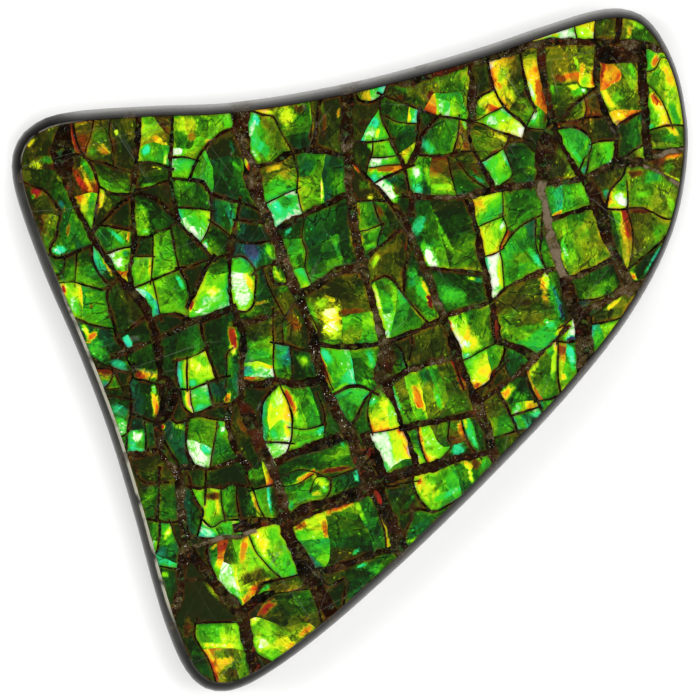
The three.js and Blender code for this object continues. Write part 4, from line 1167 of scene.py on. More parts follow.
class Prisms:
    """Collects closed upright prisms over patches of the face map, with values on their face corners."""

    def __init__(self):
        self.vertices = []
        self.faces = []
        self.values = []

    def face(self, corners, values):
        self.faces.append(corners)
        self.values += values

    def add(self, places, facets, base, top, bevel, values):
        """top is a function of a place, and values of a facet number and a point number.

        The bevel rubs the upper edge.
        """
        triangles = [triangle for facet in facets for triangle in facet]
        used = sorted({i for triangle in triangles for i in triangle})
        border = border_edges(triangles)
        push = {}
        for a, b in border:
            run = (places[b] - places[a]).normalized()
            inward = Vector((-run.y, run.x))
            push[a] = push.get(a, Vector((0, 0))) + inward
            push[b] = push.get(b, Vector((0, 0))) + inward
        base_at, side_at, top_at = {}, {}, {}
        whole = single_loop(border)
        for i in used:
            place = places[i]
            if i in push or not whole:
                base_at[i] = len(self.vertices)
                self.vertices.append((place.x, place.y, base))
            side_at[i] = top_at[i] = len(self.vertices)
            if i in push and bevel:
                self.vertices.append((place.x, place.y, top(place) - bevel))
                if push[i].length > LEAST_PUSH:
                    place = place + push[i].normalized() * bevel
                top_at[i] = len(self.vertices)
            self.vertices.append((place.x, place.y, top(place)))
        facet_of = {}
        for number, facet in enumerate(facets):
            for a, b, c in facet:
                row = [values(number, a), values(number, b), values(number, c)]
                self.face((top_at[a], top_at[b], top_at[c]), row)
                if not whole:
                    self.face((base_at[c], base_at[b], base_at[a]), row[::-1])
                facet_of.update({(a, b): number, (b, c): number, (c, a): number})
        if whole:
            homes = [facet_of[a, b] for a, b in zip(whole, whole[1:] + whole[:1])]
            row = [values(number, i) for number, i in zip(homes, whole)]
            self.face(tuple(base_at[i] for i in whole[::-1]), row[::-1])
        for a, b in border:
            near, far = values(facet_of[a, b], a), values(facet_of[a, b], b)
            self.face((base_at[a], base_at[b], side_at[b], side_at[a]), [near, far, far, near])
            if bevel:
                self.face((side_at[a], side_at[b], top_at[b], top_at[a]), [near, far, far, near])

    def build(self, name, layers):
        piece = new_piece(name, self.vertices, self.faces)
        table = np.array(self.values, np.float32)
        for column, layer in enumerate(layers):
            attribute = piece.data.attributes.new(layer, "FLOAT", "CORNER")
            attribute.data.foreach_set("value", np.ascontiguousarray(table[:, column]))
        return piece


# ---------------------------------------------------------------- material helpers

class Nodes:
    """A material or node group being wired up."""

    def __init__(self, tree):
        self.tree = tree

    def add(self, kind, **settings):
        node = self.tree.nodes.new(kind)
        for key, value in settings.items():
            setattr(node, key, value)
        return node

    def link(self, source, target):
        self.tree.links.new(source, target)

    def put(self, target, value):
        if isinstance(value, bpy.types.NodeSocket):
            self.link(value, target)
        else:
            target.default_value = value

    def math(self, operation, a, b, c=None):
        node = self.add("ShaderNodeMath", operation=operation)
        self.put(node.inputs[0], a)
        self.put(node.inputs[1], b)
        if c is not None:
            self.put(node.inputs[2], c)
        return node.outputs[0]

    def times(self, a, b):
        return self.math("MULTIPLY", a, b)

    def plus(self, a, b):
        return self.math("ADD", a, b)

    def larger(self, a, b):
        return self.math("MAXIMUM", a, b)

    def scaled(self, value, factor, start):
        return self.math("MULTIPLY_ADD", value, factor, start)

    def stirred(self, value, texture, amount):
        """The value moved up and down by a texture that runs from 0 to 1."""
        return self.plus(value, self.scaled(texture, amount, -amount / 2))

    def span(self, value, low, high, to_low=0.0, to_high=1.0, smooth=False):
        node = self.add("ShaderNodeMapRange", clamp=True)
        if smooth:
            node.interpolation_type = "SMOOTHSTEP"
        self.put(node.inputs["Value"], value)
        node.inputs["From Min"].default_value = low
        node.inputs["From Max"].default_value = high
        node.inputs["To Min"].default_value = to_low
        node.inputs["To Max"].default_value = to_high
        return node.outputs["Result"]

    def blend(self, factor, a, b):
        node = self.add("ShaderNodeMix", data_type="FLOAT", clamp_factor=True)
        self.put(node.inputs["Factor"], factor)
        self.put(node.inputs[2], a)
        self.put(node.inputs[3], b)
        return node.outputs[0]

    def mix(self, factor, a, b):
        node = self.add("ShaderNodeMix", data_type="RGBA", clamp_factor=True)
        self.put(node.inputs["Factor"], factor)
        for socket, value in ((node.inputs[6], a), (node.inputs[7], b)):
            self.put(socket, value if isinstance(value, bpy.types.NodeSocket) else (*value[:3], 1.0))
        return node.outputs[2]

    def attribute(self, name):
        return self.add("ShaderNodeAttribute", attribute_name=name).outputs["Fac"]

    def millimetres(self):
        place = self.add("ShaderNodeTexCoord").outputs["Object"]
        scale = self.add("ShaderNodeVectorMath", operation="SCALE")
        self.link(place, scale.inputs[0])
        scale.inputs["Scale"].default_value = METRE
        return scale.outputs[0]

    def noise(self, vector, scale, detail=3.0, roughness=0.55, distortion=0.0):
        node = self.add("ShaderNodeTexNoise")
        self.link(vector, node.inputs["Vector"])
        node.inputs["Scale"].default_value = scale
        node.inputs["Detail"].default_value = detail
        node.inputs["Roughness"].default_value = roughness
        node.inputs["Distortion"].default_value = distortion
        return node.outputs["Fac"]

    def voronoi(self, vector, scale, feature="F1", **settings):
        node = self.add("ShaderNodeTexVoronoi", feature=feature, **settings)
        self.link(vector, node.inputs["Vector"])
        node.inputs["Scale"].default_value = scale
        return node.outputs

    def channels(self, color):
        node = self.add("ShaderNodeSeparateColor")
        self.link(color, node.inputs[0])
        return node.outputs

    def turned(self, vector, angle):
        node = self.add("ShaderNodeVectorRotate", rotation_type="Z_AXIS")
        self.link(vector, node.inputs["Vector"])
        self.put(node.inputs["Angle"], angle)
        return node.outputs[0]

    def vectors(self, operation, *operands):
        node = self.add("ShaderNodeVectorMath", operation=operation)
        for socket, operand in zip(node.inputs, operands):
            self.put(socket, operand)
        return node.outputs[0]

    def layer(self, blend_type, a, b):
        """One colour laid over another in full, by the given way of blending."""
        node = self.add("ShaderNodeMix", data_type="RGBA", blend_type=blend_type)
        node.inputs["Factor"].default_value = 1.0
        self.link(a, node.inputs[6])
        self.link(b, node.inputs[7])
        return node.outputs[2]

    def finish(self, shader, color, roughness, relief, strength, depth):
        """Links a colour, a roughness and a relief of the given depth in metres to a shader."""
        self.link(color, shader.inputs["Base Color"])
        self.link(roughness, shader.inputs["Roughness"])
        bump = self.add("ShaderNodeBump")
        bump.inputs["Strength"].default_value = strength
        bump.inputs["Distance"].default_value = depth
        self.link(relief, bump.inputs["Height"])
        self.link(bump.outputs[0], shader.inputs["Normal"])

    def distance(self, flat, spot):
        """How far a place seen from above is from a point of the drawing grid, in mm."""
        middle = grid_point(*spot) * METRE
        away = self.add("ShaderNodeVectorMath", operation="DISTANCE")
        self.link(flat, away.inputs[0])
        away.inputs[1].default_value = (middle.x, middle.y, 0.0)
        return away.outputs["Value"]

    def ramp(self, value, stops):
        node = self.add("ShaderNodeValToRGB")
        self.link(value, node.inputs["Fac"])
        ramp = node.color_ramp
        while len(ramp.elements) < len(stops):
            ramp.elements.new(0.5)
        for element, (position, color) in zip(ramp.elements, stops):
            element.position = position
            element.color = (*color, 1.0)
        return node.outputs["Color"]

    def stretch(self, vector, amounts, turn=0.0):
        node = self.add("ShaderNodeMapping", vector_type="POINT")
        self.link(vector, node.inputs["Vector"])
        node.inputs["Rotation"].default_value = (0, 0, turn)
        node.inputs["Scale"].default_value = amounts
        return node.outputs["Vector"]


def new_material(name):
    material = bpy.data.materials.new(name)
    material.use_nodes = True
    material.node_tree.nodes.clear()
    nodes = Nodes(material.node_tree)
    shader = nodes.add("ShaderNodeBsdfPrincipled")
    output = nodes.add("ShaderNodeOutputMaterial")
    nodes.link(shader.outputs[0], output.inputs["Surface"])
    return material, nodes, shader


def new_mask(name):
    """A node group with a place and an amount going in and a mask coming out."""
    tree = bpy.data.node_groups.new(name, "ShaderNodeTree")
    tree.interface.new_socket(name="Vector", in_out="INPUT", socket_type="NodeSocketVector")
    tree.interface.new_socket(name="Amount", in_out="INPUT", socket_type="NodeSocketFloat")
    tree.interface.new_socket(name="Mask", in_out="OUTPUT", socket_type="NodeSocketFloat")
    nodes = Nodes(tree)
    return tree, nodes, nodes.add("NodeGroupInput"), nodes.add("NodeGroupOutput")


# The scratches: the turn of each set and how far it is moved so that no two sets meet, in mm.
SCRATCH_SETS = [(0.5, 0.0), (-0.55, 4.1), (1.3, 9.7)]


def polish_scratches():
    """Shared group: fine straight scratches left in the polish, as a mask."""
    if "polish scratches" in bpy.data.node_groups:
        return bpy.data.node_groups["polish scratches"]
    tree, nodes, given, result = new_mask("polish scratches")
    total = 0.0
    for turn, offset in SCRATCH_SETS:
        drawn_out = nodes.stretch(nodes.turned(given.outputs["Vector"], turn), (1.3, 0.11, 1.0))
        moved = nodes.vectors("ADD", drawn_out, (offset, offset * 0.7, 0))
        gap = nodes.voronoi(moved, 0.50, "DISTANCE_TO_EDGE")["Distance"]
        line = nodes.span(gap, 0.002, 0.008, 1.0, 0.0)
        patch = nodes.span(nodes.noise(moved, 0.9, 1.0), 0.55, 0.65)
        total = nodes.larger(total, nodes.times(line, patch))
    nodes.link(nodes.times(total, given.outputs["Amount"]), result.inputs["Mask"])
    return tree


def sugar_grains():
    """Shared group: scattered bright crystal grains, as a mask."""
    if "sugar grains" in bpy.data.node_groups:
        return bpy.data.node_groups["sugar grains"]
    tree, nodes, given, result = new_mask("sugar grains")
    cells = nodes.voronoi(given.outputs["Vector"], 10.0)
    chosen = nodes.span(nodes.channels(cells["Color"])[0], 0.62, 0.86)
    core = nodes.span(cells["Distance"], 0.20, 0.40, 1.0, 0.0)
    clumps = nodes.span(nodes.noise(given.outputs["Vector"], 2.4, 4.0, 0.65), 0.49, 0.60)
    grain = nodes.times(nodes.times(chosen, core), clumps)
    nodes.link(nodes.times(grain, given.outputs["Amount"]), result.inputs["Mask"])
    return tree


def use_group(nodes, tree, **values):
    """Places a shared group in a material with its own values, and gives its mask."""
    node = nodes.add("ShaderNodeGroup", node_tree=tree)
    for label, value in values.items():
        nodes.put(node.inputs[label], value)
    return node.outputs["Mask"]


# ---------------------------------------------------------------- materials

# The shell's colour along its play, and its brightness along its glow.
SPECTRUM = [
    (0.00, (0.110, 0.120, 0.240)), (0.10, (0.050, 0.160, 0.360)), (0.20, (0.020, 0.500, 0.400)),
    (0.30, (0.020, 0.720, 0.260)), (0.40, (0.018, 0.500, 0.030)), (0.50, (0.060, 0.560, 0.004)),
    (0.60, (0.200, 0.700, 0.003)), (0.70, (0.560, 0.800, 0.005)), (0.77, (0.860, 0.700, 0.006)),
    (0.85, (0.780, 0.220, 0.003)), (0.93, (0.560, 0.040, 0.002)), (1.00, (0.420, 0.008, 0.016)),
]
BRIGHTNESS = [(0.00, 0.010), (0.15, 0.045), (0.30, 0.12), (0.50, 0.36), (0.70, 0.74), (1.00, 0.85)]
# How far each fragment's textures are moved along x and y, for a seed of 1, in mm.
SEED_SHIFT = (37.0, 91.0)
SCRATCH_AMOUNT = 0.12


def shell_material():
    material, nodes, shader = new_material("iridescent shell")
    place = nodes.millimetres()
    seed = nodes.attribute("seed")
    edge = nodes.attribute("edge")
    shift = nodes.add("ShaderNodeCombineXYZ")
    for socket, amount in zip(shift.inputs, SEED_SHIFT):
        nodes.link(nodes.times(seed, amount), socket)
    turned = nodes.turned(place, nodes.times(nodes.attribute("grain"), -1.0))
    own = nodes.vectors("ADD", turned, shift.outputs[0])

    # Textures, each in the fragment's own place and direction.
    patches = nodes.noise(own, 0.55, 2.0, 0.5, 0.8)
    folds = nodes.noise(nodes.stretch(own, (2.2, 0.8, 1.0)), 0.9, 4.0, 0.6, 0.7)
    crumple = nodes.noise(own, 3.2, 5.0, 0.65, 0.3)
    fine = nodes.noise(nodes.stretch(own, (1.0, 0.45, 1.0)), 9.0, 3.0, 0.6, 0.4)
    cell = nodes.channels(nodes.voronoi(nodes.stretch(own, (1.0, 0.6, 1.0)), 0.55)["Color"])
    shards = nodes.voronoi(nodes.stretch(own, (1.0, 0.55, 1.0), 0.6), 1.5, distance="CHEBYCHEV")
    shard = nodes.channels(shards["Color"])

    # The shade runs across the facet, and a ragged flash covers it.
    run = nodes.stirred(nodes.attribute("run"), folds, 1.1)
    run = nodes.span(run, 0.12, 0.88, 0.0, 1.0, True)
    play = nodes.blend(run, nodes.attribute("play_a"), nodes.attribute("play_b"))
    glow = nodes.blend(run, nodes.attribute("glow_a"), nodes.attribute("glow_b"))
    ragged = nodes.scaled(nodes.plus(crumple, folds), 0.45, -0.45)
    ragged = nodes.stirred(ragged, shard[2], 0.30)
    flash = nodes.span(nodes.plus(nodes.attribute("flash"), ragged), 0.20, 0.78, 0.0, 1.0, True)
    flash = nodes.times(flash, nodes.span(nodes.attribute("flash"), 0.02, 0.20))
    play = nodes.blend(flash, play, nodes.attribute("flash_play"))
    glow = nodes.blend(flash, glow, nodes.attribute("flash_glow"))

    # Each texture moves the play and the glow a little.
    play = nodes.stirred(play, patches, 0.22)
    play = nodes.stirred(play, crumple, 0.12)
    # edge is a painted highlight along the border that faces the way the fragment leans; it shifts the play
    # here.
    play = nodes.scaled(edge, 0.10, play)
    play = nodes.stirred(play, cell[1], 0.10)
    play = nodes.stirred(play, shard[1], 0.06)
    glow = nodes.plus(glow, nodes.scaled(cell[0], 0.20, -0.12))
    glow = nodes.stirred(glow, crumple, 0.44)
    glow = nodes.stirred(glow, shard[0], 0.20)
    glow = nodes.stirred(glow, patches, 0.36)
    # The painted highlight along the border that faces the fragment's lean raises the glow.
    glow = nodes.scaled(nodes.larger(edge, 0.0), 0.16, glow)
    glow = nodes.stirred(glow, fine, 0.18)

    # Dark pits, bright specks and the fine crazing with its lighter sides.
    pit = nodes.voronoi(nodes.stretch(own, (1.0, 0.7, 1.0)), 1.9)["Distance"]
    pitted = nodes.span(nodes.noise(place, 0.35, 1.0), 0.50, 0.62)
    pits = nodes.times(nodes.span(pit, 0.08, 0.24, 1.0, 0.0), pitted)
    glow = nodes.math("SUBTRACT", glow, nodes.times(pits, 0.22))
    specks = nodes.voronoi(nodes.stretch(own, (1.0, 0.6, 1.0)), 3.4)
    chosen = nodes.span(nodes.channels(specks["Color"])[0], 0.60, 0.95)
    bright = nodes.times(chosen, nodes.span(specks["Distance"], 0.10, 0.30, 1.0, 0.0))
    glow = nodes.scaled(bright, 0.34, glow)
    bent = nodes.vectors("MULTIPLY_ADD", crumple, (0.5, 0.5, 0.0), nodes.stretch(own, (1.0, 0.5, 1.0), 0.35))
    craze = nodes.voronoi(bent, 1.15, "DISTANCE_TO_EDGE")["Distance"]
    line = nodes.span(craze, 0.015, 0.060, 1.0, 0.0)
    beside = nodes.span(craze, 0.060, 0.140, 1.0, 0.0)
    crazed = nodes.span(nodes.noise(own, 0.9, 2.0), 0.46, 0.56)
    glow = nodes.scaled(nodes.times(beside, crazed), 0.12, glow)
    glow = nodes.scaled(nodes.times(line, crazed), -0.30, glow)

    # The play lit by the glow over the body colour, turning white at the brightest as a painted highlight, with
    # a border darkened as painted shade, rusty red in patches.
    light = nodes.ramp(glow, [(position, (value, value, value)) for position, value in BRIGHTNESS])
    amber = tuple(colors().amber)
    body = nodes.mix(folds, amber, tuple(c * 0.4 for c in amber))
    lit = nodes.layer("ADD", nodes.layer("MULTIPLY", nodes.ramp(play, SPECTRUM), light), body)
    tint = nodes.mix(nodes.span(glow, 0.88, 1.21, 0.0, 0.96, True), lit, tuple(colors().glint))
    rusty = nodes.span(nodes.noise(place, 0.8, 3.0), 0.44, 0.58)
    border_shade_and_rust = nodes.mix(rusty, (0.012, 0.009, 0.002), (0.085, 0.018, 0.003))
    # Painted shade: near each fragment's border the colour darkens to near black, turning rusty red in patches.
    border = nodes.scaled(nodes.attribute("shade"), 0.7, nodes.times(crumple, 0.5))
    tint = nodes.mix(nodes.span(border, 0.45, 1.05, 0.0, 0.62), tint, border_shade_and_rust)
    scratch = use_group(nodes, polish_scratches(), Vector=place, Amount=SCRATCH_AMOUNT)
    tint = nodes.mix(scratch, tint, (0.30, 0.34, 0.26))
    rough = nodes.plus(nodes.span(crumple, 0.3, 0.7, 0.10, 0.20), nodes.times(scratch, 0.5))
    relief = nodes.plus(folds, nodes.times(scratch, -0.6))
    nodes.finish(shader, tint, rough, relief, 0.10, 0.00002)
    shader.inputs["Specular IOR Level"].default_value = 0.12
    return material


def vein_material():
    material, nodes, shader = new_material("vein filling")
    place = nodes.millimetres()
    sparkle = nodes.attribute("sparkle")
    clouds = nodes.noise(place, 1.1, 3.0, 0.55, 0.4)
    grit = nodes.noise(place, 7.0, 3.0, 0.6)
    sandy = nodes.span(nodes.noise(place, 0.85, 4.0, 0.6, 0.5), 0.47, 0.60)
    sandy = nodes.times(sandy, nodes.span(sparkle, 0.0, 0.5, 0.4, 2.6))
    depth = nodes.stirred(nodes.attribute("tone"), clouds, 2.40)
    depth = nodes.plus(depth, nodes.times(nodes.math("SUBTRACT", grit, 0.5), nodes.plus(sandy, 0.35)))
    tint = nodes.ramp(depth, [
        (0.00, tuple(colors().vein)), (0.28, (0.0065, 0.0042, 0.0010)), (0.50, tuple(colors().ironstone)),
        (0.78, (0.056, 0.044, 0.018)), (1.00, tuple(colors().calcite))])
    red = nodes.times(nodes.attribute("redness"), nodes.span(nodes.noise(place, 0.7, 2.0), 0.42, 0.60))
    tint = nodes.mix(red, tint, (0.050, 0.0080, 0.0022))
    crumbs = nodes.span(nodes.noise(place, 1.9, 4.0, 0.62, 0.7), 0.57, 0.63)
    crumb = nodes.ramp(nodes.noise(place, 0.9, 2.0), [
        (0.36, (0.110, 0.012, 0.005)), (0.43, (0.095, 0.055, 0.005)), (0.52, (0.045, 0.080, 0.008)),
        (0.60, (0.018, 0.065, 0.016))])
    tint = nodes.mix(nodes.times(crumbs, 0.62), tint, crumb)
    grains = use_group(nodes, sugar_grains(), Vector=place, Amount=sparkle)
    tint = nodes.mix(nodes.times(grains, 0.9), tint, (0.62, 0.60, 0.52))
    scratch = use_group(nodes, polish_scratches(), Vector=place, Amount=SCRATCH_AMOUNT)
    tint = nodes.mix(scratch, tint, (0.30, 0.27, 0.22))
    rough = nodes.span(grit, 0.3, 0.7, 0.16, 0.30)
    nodes.finish(shader, tint, rough, nodes.plus(grit, grains), 0.3, 0.00002)
    shader.inputs["Specular IOR Level"].default_value = 0.015
    return material


# The corners where the top of the edge is painted black as shade: x and y on the grid, how far it reaches in mm
# and how black it is.
SHADED_CORNERS = [(22, 132, 3.0, 1.0), (228, 682, 4.0, 0.55), (656, 40, 2.4, 0.60)]
# The middle of the stretch of lip that carries a painted highlight, a pale line, on the grid, and between which
# distances from it, in mm, the highlight fades out.
HIGHLIGHT_MIDDLE = (122, 455)
HIGHLIGHT_REACH = (11.5, 14.0)
# Where brown vein filling comes out through the rounded edge: x and y on the grid, and its width in mm.
RIM_STAINS = [
    (243, 106, 1.1), (130, 116, 0.4), (350, 84, 0.9), (420, 66, 0.6), (400, 556, 1.2), (588, 375, 1.1),
    (642, 285, 0.9), (494, 466, 0.6), (331, 616, 0.7), (172, 628, 0.5), (20, 178, 0.4), (686, 150, 0.4),
    (122, 458, 0.5), (668, 48, 0.5),
]


def shale_material():
    material, nodes, shader = new_material("polished shale")
    place = nodes.millimetres()
    parts = nodes.add("ShaderNodeSeparateXYZ")
    nodes.link(place, parts.inputs[0])
    height = parts.outputs["Z"]
    flat = nodes.stretch(place, (1.0, 1.0, 0.0))
    clouds = nodes.noise(place, 0.9, 4.0, 0.6)
    grit = nodes.noise(place, 9.0, 3.0, 0.6)
    beds = nodes.noise(nodes.stretch(place, (0.25, 0.25, 2.6)), 1.0, 3.0, 0.5)
    tint = nodes.ramp(nodes.scaled(beds, 0.5, nodes.times(clouds, 0.5)), [
        (0.30, (0.014, 0.014, 0.012)), (0.55, tuple(colors().shale)), (0.75, (0.040, 0.039, 0.034))])

    # Where on the edge a place is, and which way it faces.
    rim = nodes.stirred(nodes.attribute("rim"), clouds, 0.24)
    # pale: how far the edge faces the side that gets the painted reflection.
    pale = nodes.span(nodes.attribute("pale"), -0.05, 0.25)
    right = nodes.span(nodes.attribute("right"), 0.60, 0.95)
    ragged = nodes.scaled(clouds, 1.6, -0.8)
    corners = []
    painted_corner_shade = 0.0
    for x, y, reach, share in SHADED_CORNERS:
        away = nodes.plus(nodes.distance(flat, (x, y)), ragged)
        corners.append(nodes.span(away, reach * 0.85, reach * 1.6, share, 0.0))
        painted_corner_shade = nodes.larger(painted_corner_shade, corners[-1])
    painted_corner_shade = nodes.times(painted_corner_shade, nodes.span(height, 1.6, 4.8))

    # On the upper and right sides the edge carries a painted reflection: pale grey on its outer part, which is
    # also made rougher, and near-black next to the face. At three corners it is painted black as shade.
    outer = nodes.span(nodes.scaled(right, 0.18, rim), -0.05, 0.85, 1.0, 0.0)
    painted_reflection_band = nodes.times(nodes.times(outer, outer), pale)
    painted_reflection_band = nodes.times(painted_reflection_band, nodes.span(height, 2.2, 4.2))
    painted_dark_reflection = nodes.span(nodes.scaled(right, 0.16, rim), 0.60, 0.90)
    tint = nodes.mix(nodes.times(painted_dark_reflection, pale), tint, (0.004, 0.0028, 0.0018))
    tint = nodes.mix(nodes.times(painted_reflection_band, 0.62), tint, (0.40, 0.39, 0.36))
    # Painted shade: these corners go near black, near the top of the side only.
    tint = nodes.mix(painted_corner_shade, tint, (0.0022, 0.0016, 0.0010))

    # A painted highlight: a pale line in patches along the lip next to the shell, strongest on a stretch of the
    # left side and weaker at the top-left corner.
    beside = nodes.span(nodes.distance(flat, HIGHLIGHT_MIDDLE), *HIGHLIGHT_REACH, 0.95, 0.0)
    lip = nodes.span(nodes.scaled(beside, 0.16, nodes.attribute("rim")), 0.88, 0.96)
    painted_highlight_patches = nodes.span(nodes.noise(place, 0.5, 3.0), 0.38, 0.50)
    where = nodes.larger(nodes.times(corners[0], 0.32), nodes.scaled(pale, -0.1, 0.1))
    where = nodes.larger(where, beside)
    tint = nodes.mix(nodes.times(nodes.times(lip, painted_highlight_patches), where), tint, (0.36, 0.35, 0.27))

    # Brown filling comes out through the side, and the foot of the side is ground dull.
    stain = 0.0
    for x, y, width in RIM_STAINS:
        away = nodes.plus(nodes.distance(flat, (x, y)), ragged)
        stain = nodes.larger(stain, nodes.span(away, width * 0.6, width * 1.1, 1.0, 0.0))
    brown = nodes.ramp(nodes.noise(place, 3.0, 4.0, 0.65), [
        (0.35, (0.014, 0.009, 0.005)), (0.52, (0.040, 0.028, 0.016)), (0.68, (0.11, 0.085, 0.055))])
    stain = nodes.times(stain, 0.6)
    tint = nodes.mix(stain, tint, brown)
    ground = nodes.span(height, 0.35, 0.60, 1.0, 0.0)
    dust = nodes.ramp(grit, [(0.35, (0.030, 0.029, 0.026)), (0.65, (0.060, 0.057, 0.050))])
    tint = nodes.mix(ground, tint, dust)
    grains = use_group(nodes, sugar_grains(), Vector=place, Amount=stain)
    tint = nodes.mix(grains, tint, (0.40, 0.36, 0.30))
    rough = nodes.scaled(nodes.larger(ground, painted_reflection_band), 0.45, nodes.span(grit, 0.3, 0.7, 0.10, 0.18))
    relief = nodes.times(grit, nodes.scaled(ground, 0.9, 0.1))
    nodes.finish(shader, tint, rough, relief, 0.2, 0.00003)
    shader.inputs["Specular IOR Level"].default_value = 0.03
    shader.inputs["Coat Roughness"].default_value = 0.15
    shine = nodes.times(pale, nodes.math("SUBTRACT", 1.0, nodes.larger(painted_corner_shade, right)))
    nodes.link(nodes.times(shine, 0.35), shader.inputs["Coat Weight"])
    return material


def floor_material():
    material, nodes, shader = new_material("plain floor")
    place = nodes.millimetres()
    base = tuple(colors().floor)
    tint = nodes.ramp(nodes.noise(place, 0.02, 2.0), [
        (0.3, tuple(c * 0.995 for c in base)), (0.7, base)])
    nodes.link(tint, shader.inputs["Base Color"])
    shader.inputs["Roughness"].default_value = 0.9
    return material


# ---------------------------------------------------------------- operators

# In metres: half the floor, the camera's height over the face, the width that it sees and what it clips.
FLOOR_HALF = 0.6
CAMERA_HEIGHT = 0.9
VIEW_WIDTH = 0.0525
CLIP = (0.05, 10.0)
# The camera's sensor, in mm.
SENSOR = 36.0
# The lamps: name, place, size in metres and power in watts. The room itself gives off ROOM_LIGHT.
LAMPS = [
    ("lamp_left", (-0.36, 0.04, 0.34), 0.26, 1.25),
    ("lamp_right", (0.20, 0.02, 0.42), 0.26, 1.25),
    ("lamp_top", (0.02, 0.40, 0.30), 0.34, 1.5),
    ("lamp_bottom", (-0.02, -0.20, 0.42), 0.26, 1.15),
]
ROOM_LIGHT = 0.03


class AMMOLITE_OT_stage(bpy.types.Operator):
    """Adds the plain floor, the soft lights and the camera that looks straight down"""
    bl_idname = "ammolite.stage"
    bl_label = "Stage"

    def execute(self, context):
        deselect_everything()
        bpy.ops.mesh.primitive_plane_add(size=2 * FLOOR_HALF, location=(0, 0, LOW.z))
        floor = context.active_object
        floor.name = "floor"
        bpy.ops.object.transform_apply(location=True, rotation=True, scale=True)
        floor.data.materials.append(floor_material())
        for name, place, size, power in LAMPS:
            bpy.ops.object.light_add(type="AREA", location=place)
            lamp = context.active_object
            lamp.name = name
            lamp.data.shape = "SQUARE"
            lamp.data.size = size
            lamp.data.energy = power
            lamp.rotation_euler = Vector(place).to_track_quat("Z", "Y").to_euler()
        world = bpy.data.worlds.new("soft room")
        world.use_nodes = True
        background = world.node_tree.nodes["Background"]
        background.inputs["Color"].default_value = (1.0, 1.0, 1.0, 1.0)
        background.inputs["Strength"].default_value = ROOM_LIGHT
        context.scene.world = world
        deselect_everything()
        bpy.ops.object.camera_add(location=(0, 0, HIGH.z + CAMERA_HEIGHT), rotation=(0, 0, 0))
        camera = context.active_object
        camera.name = "camera"
        camera.data.sensor_width = SENSOR
        camera.data.lens = SENSOR * CAMERA_HEIGHT / VIEW_WIDTH
        camera.data.clip_start, camera.data.clip_end = CLIP
        context.scene.camera = camera
        context.scene.view_settings.view_transform = "Standard"
        return {"FINISHED"}


# The side where the rounded edge carries a painted reflection, pale on its outer part and dark next to the
# face, as an outward direction.
REFLECTION_SIDE = Vector((0.80, 0.60))
# The foot of the back bevel steps in by this share first.
BEVEL_STEP = 0.35
# How far a new ring is lifted before it is placed, the first ring's radius, and the bend that still looks
# smooth.
RING_LIFT = 0.0001
RING_RADIUS = 0.02
SMOOTH_BEND = math.radians(24)


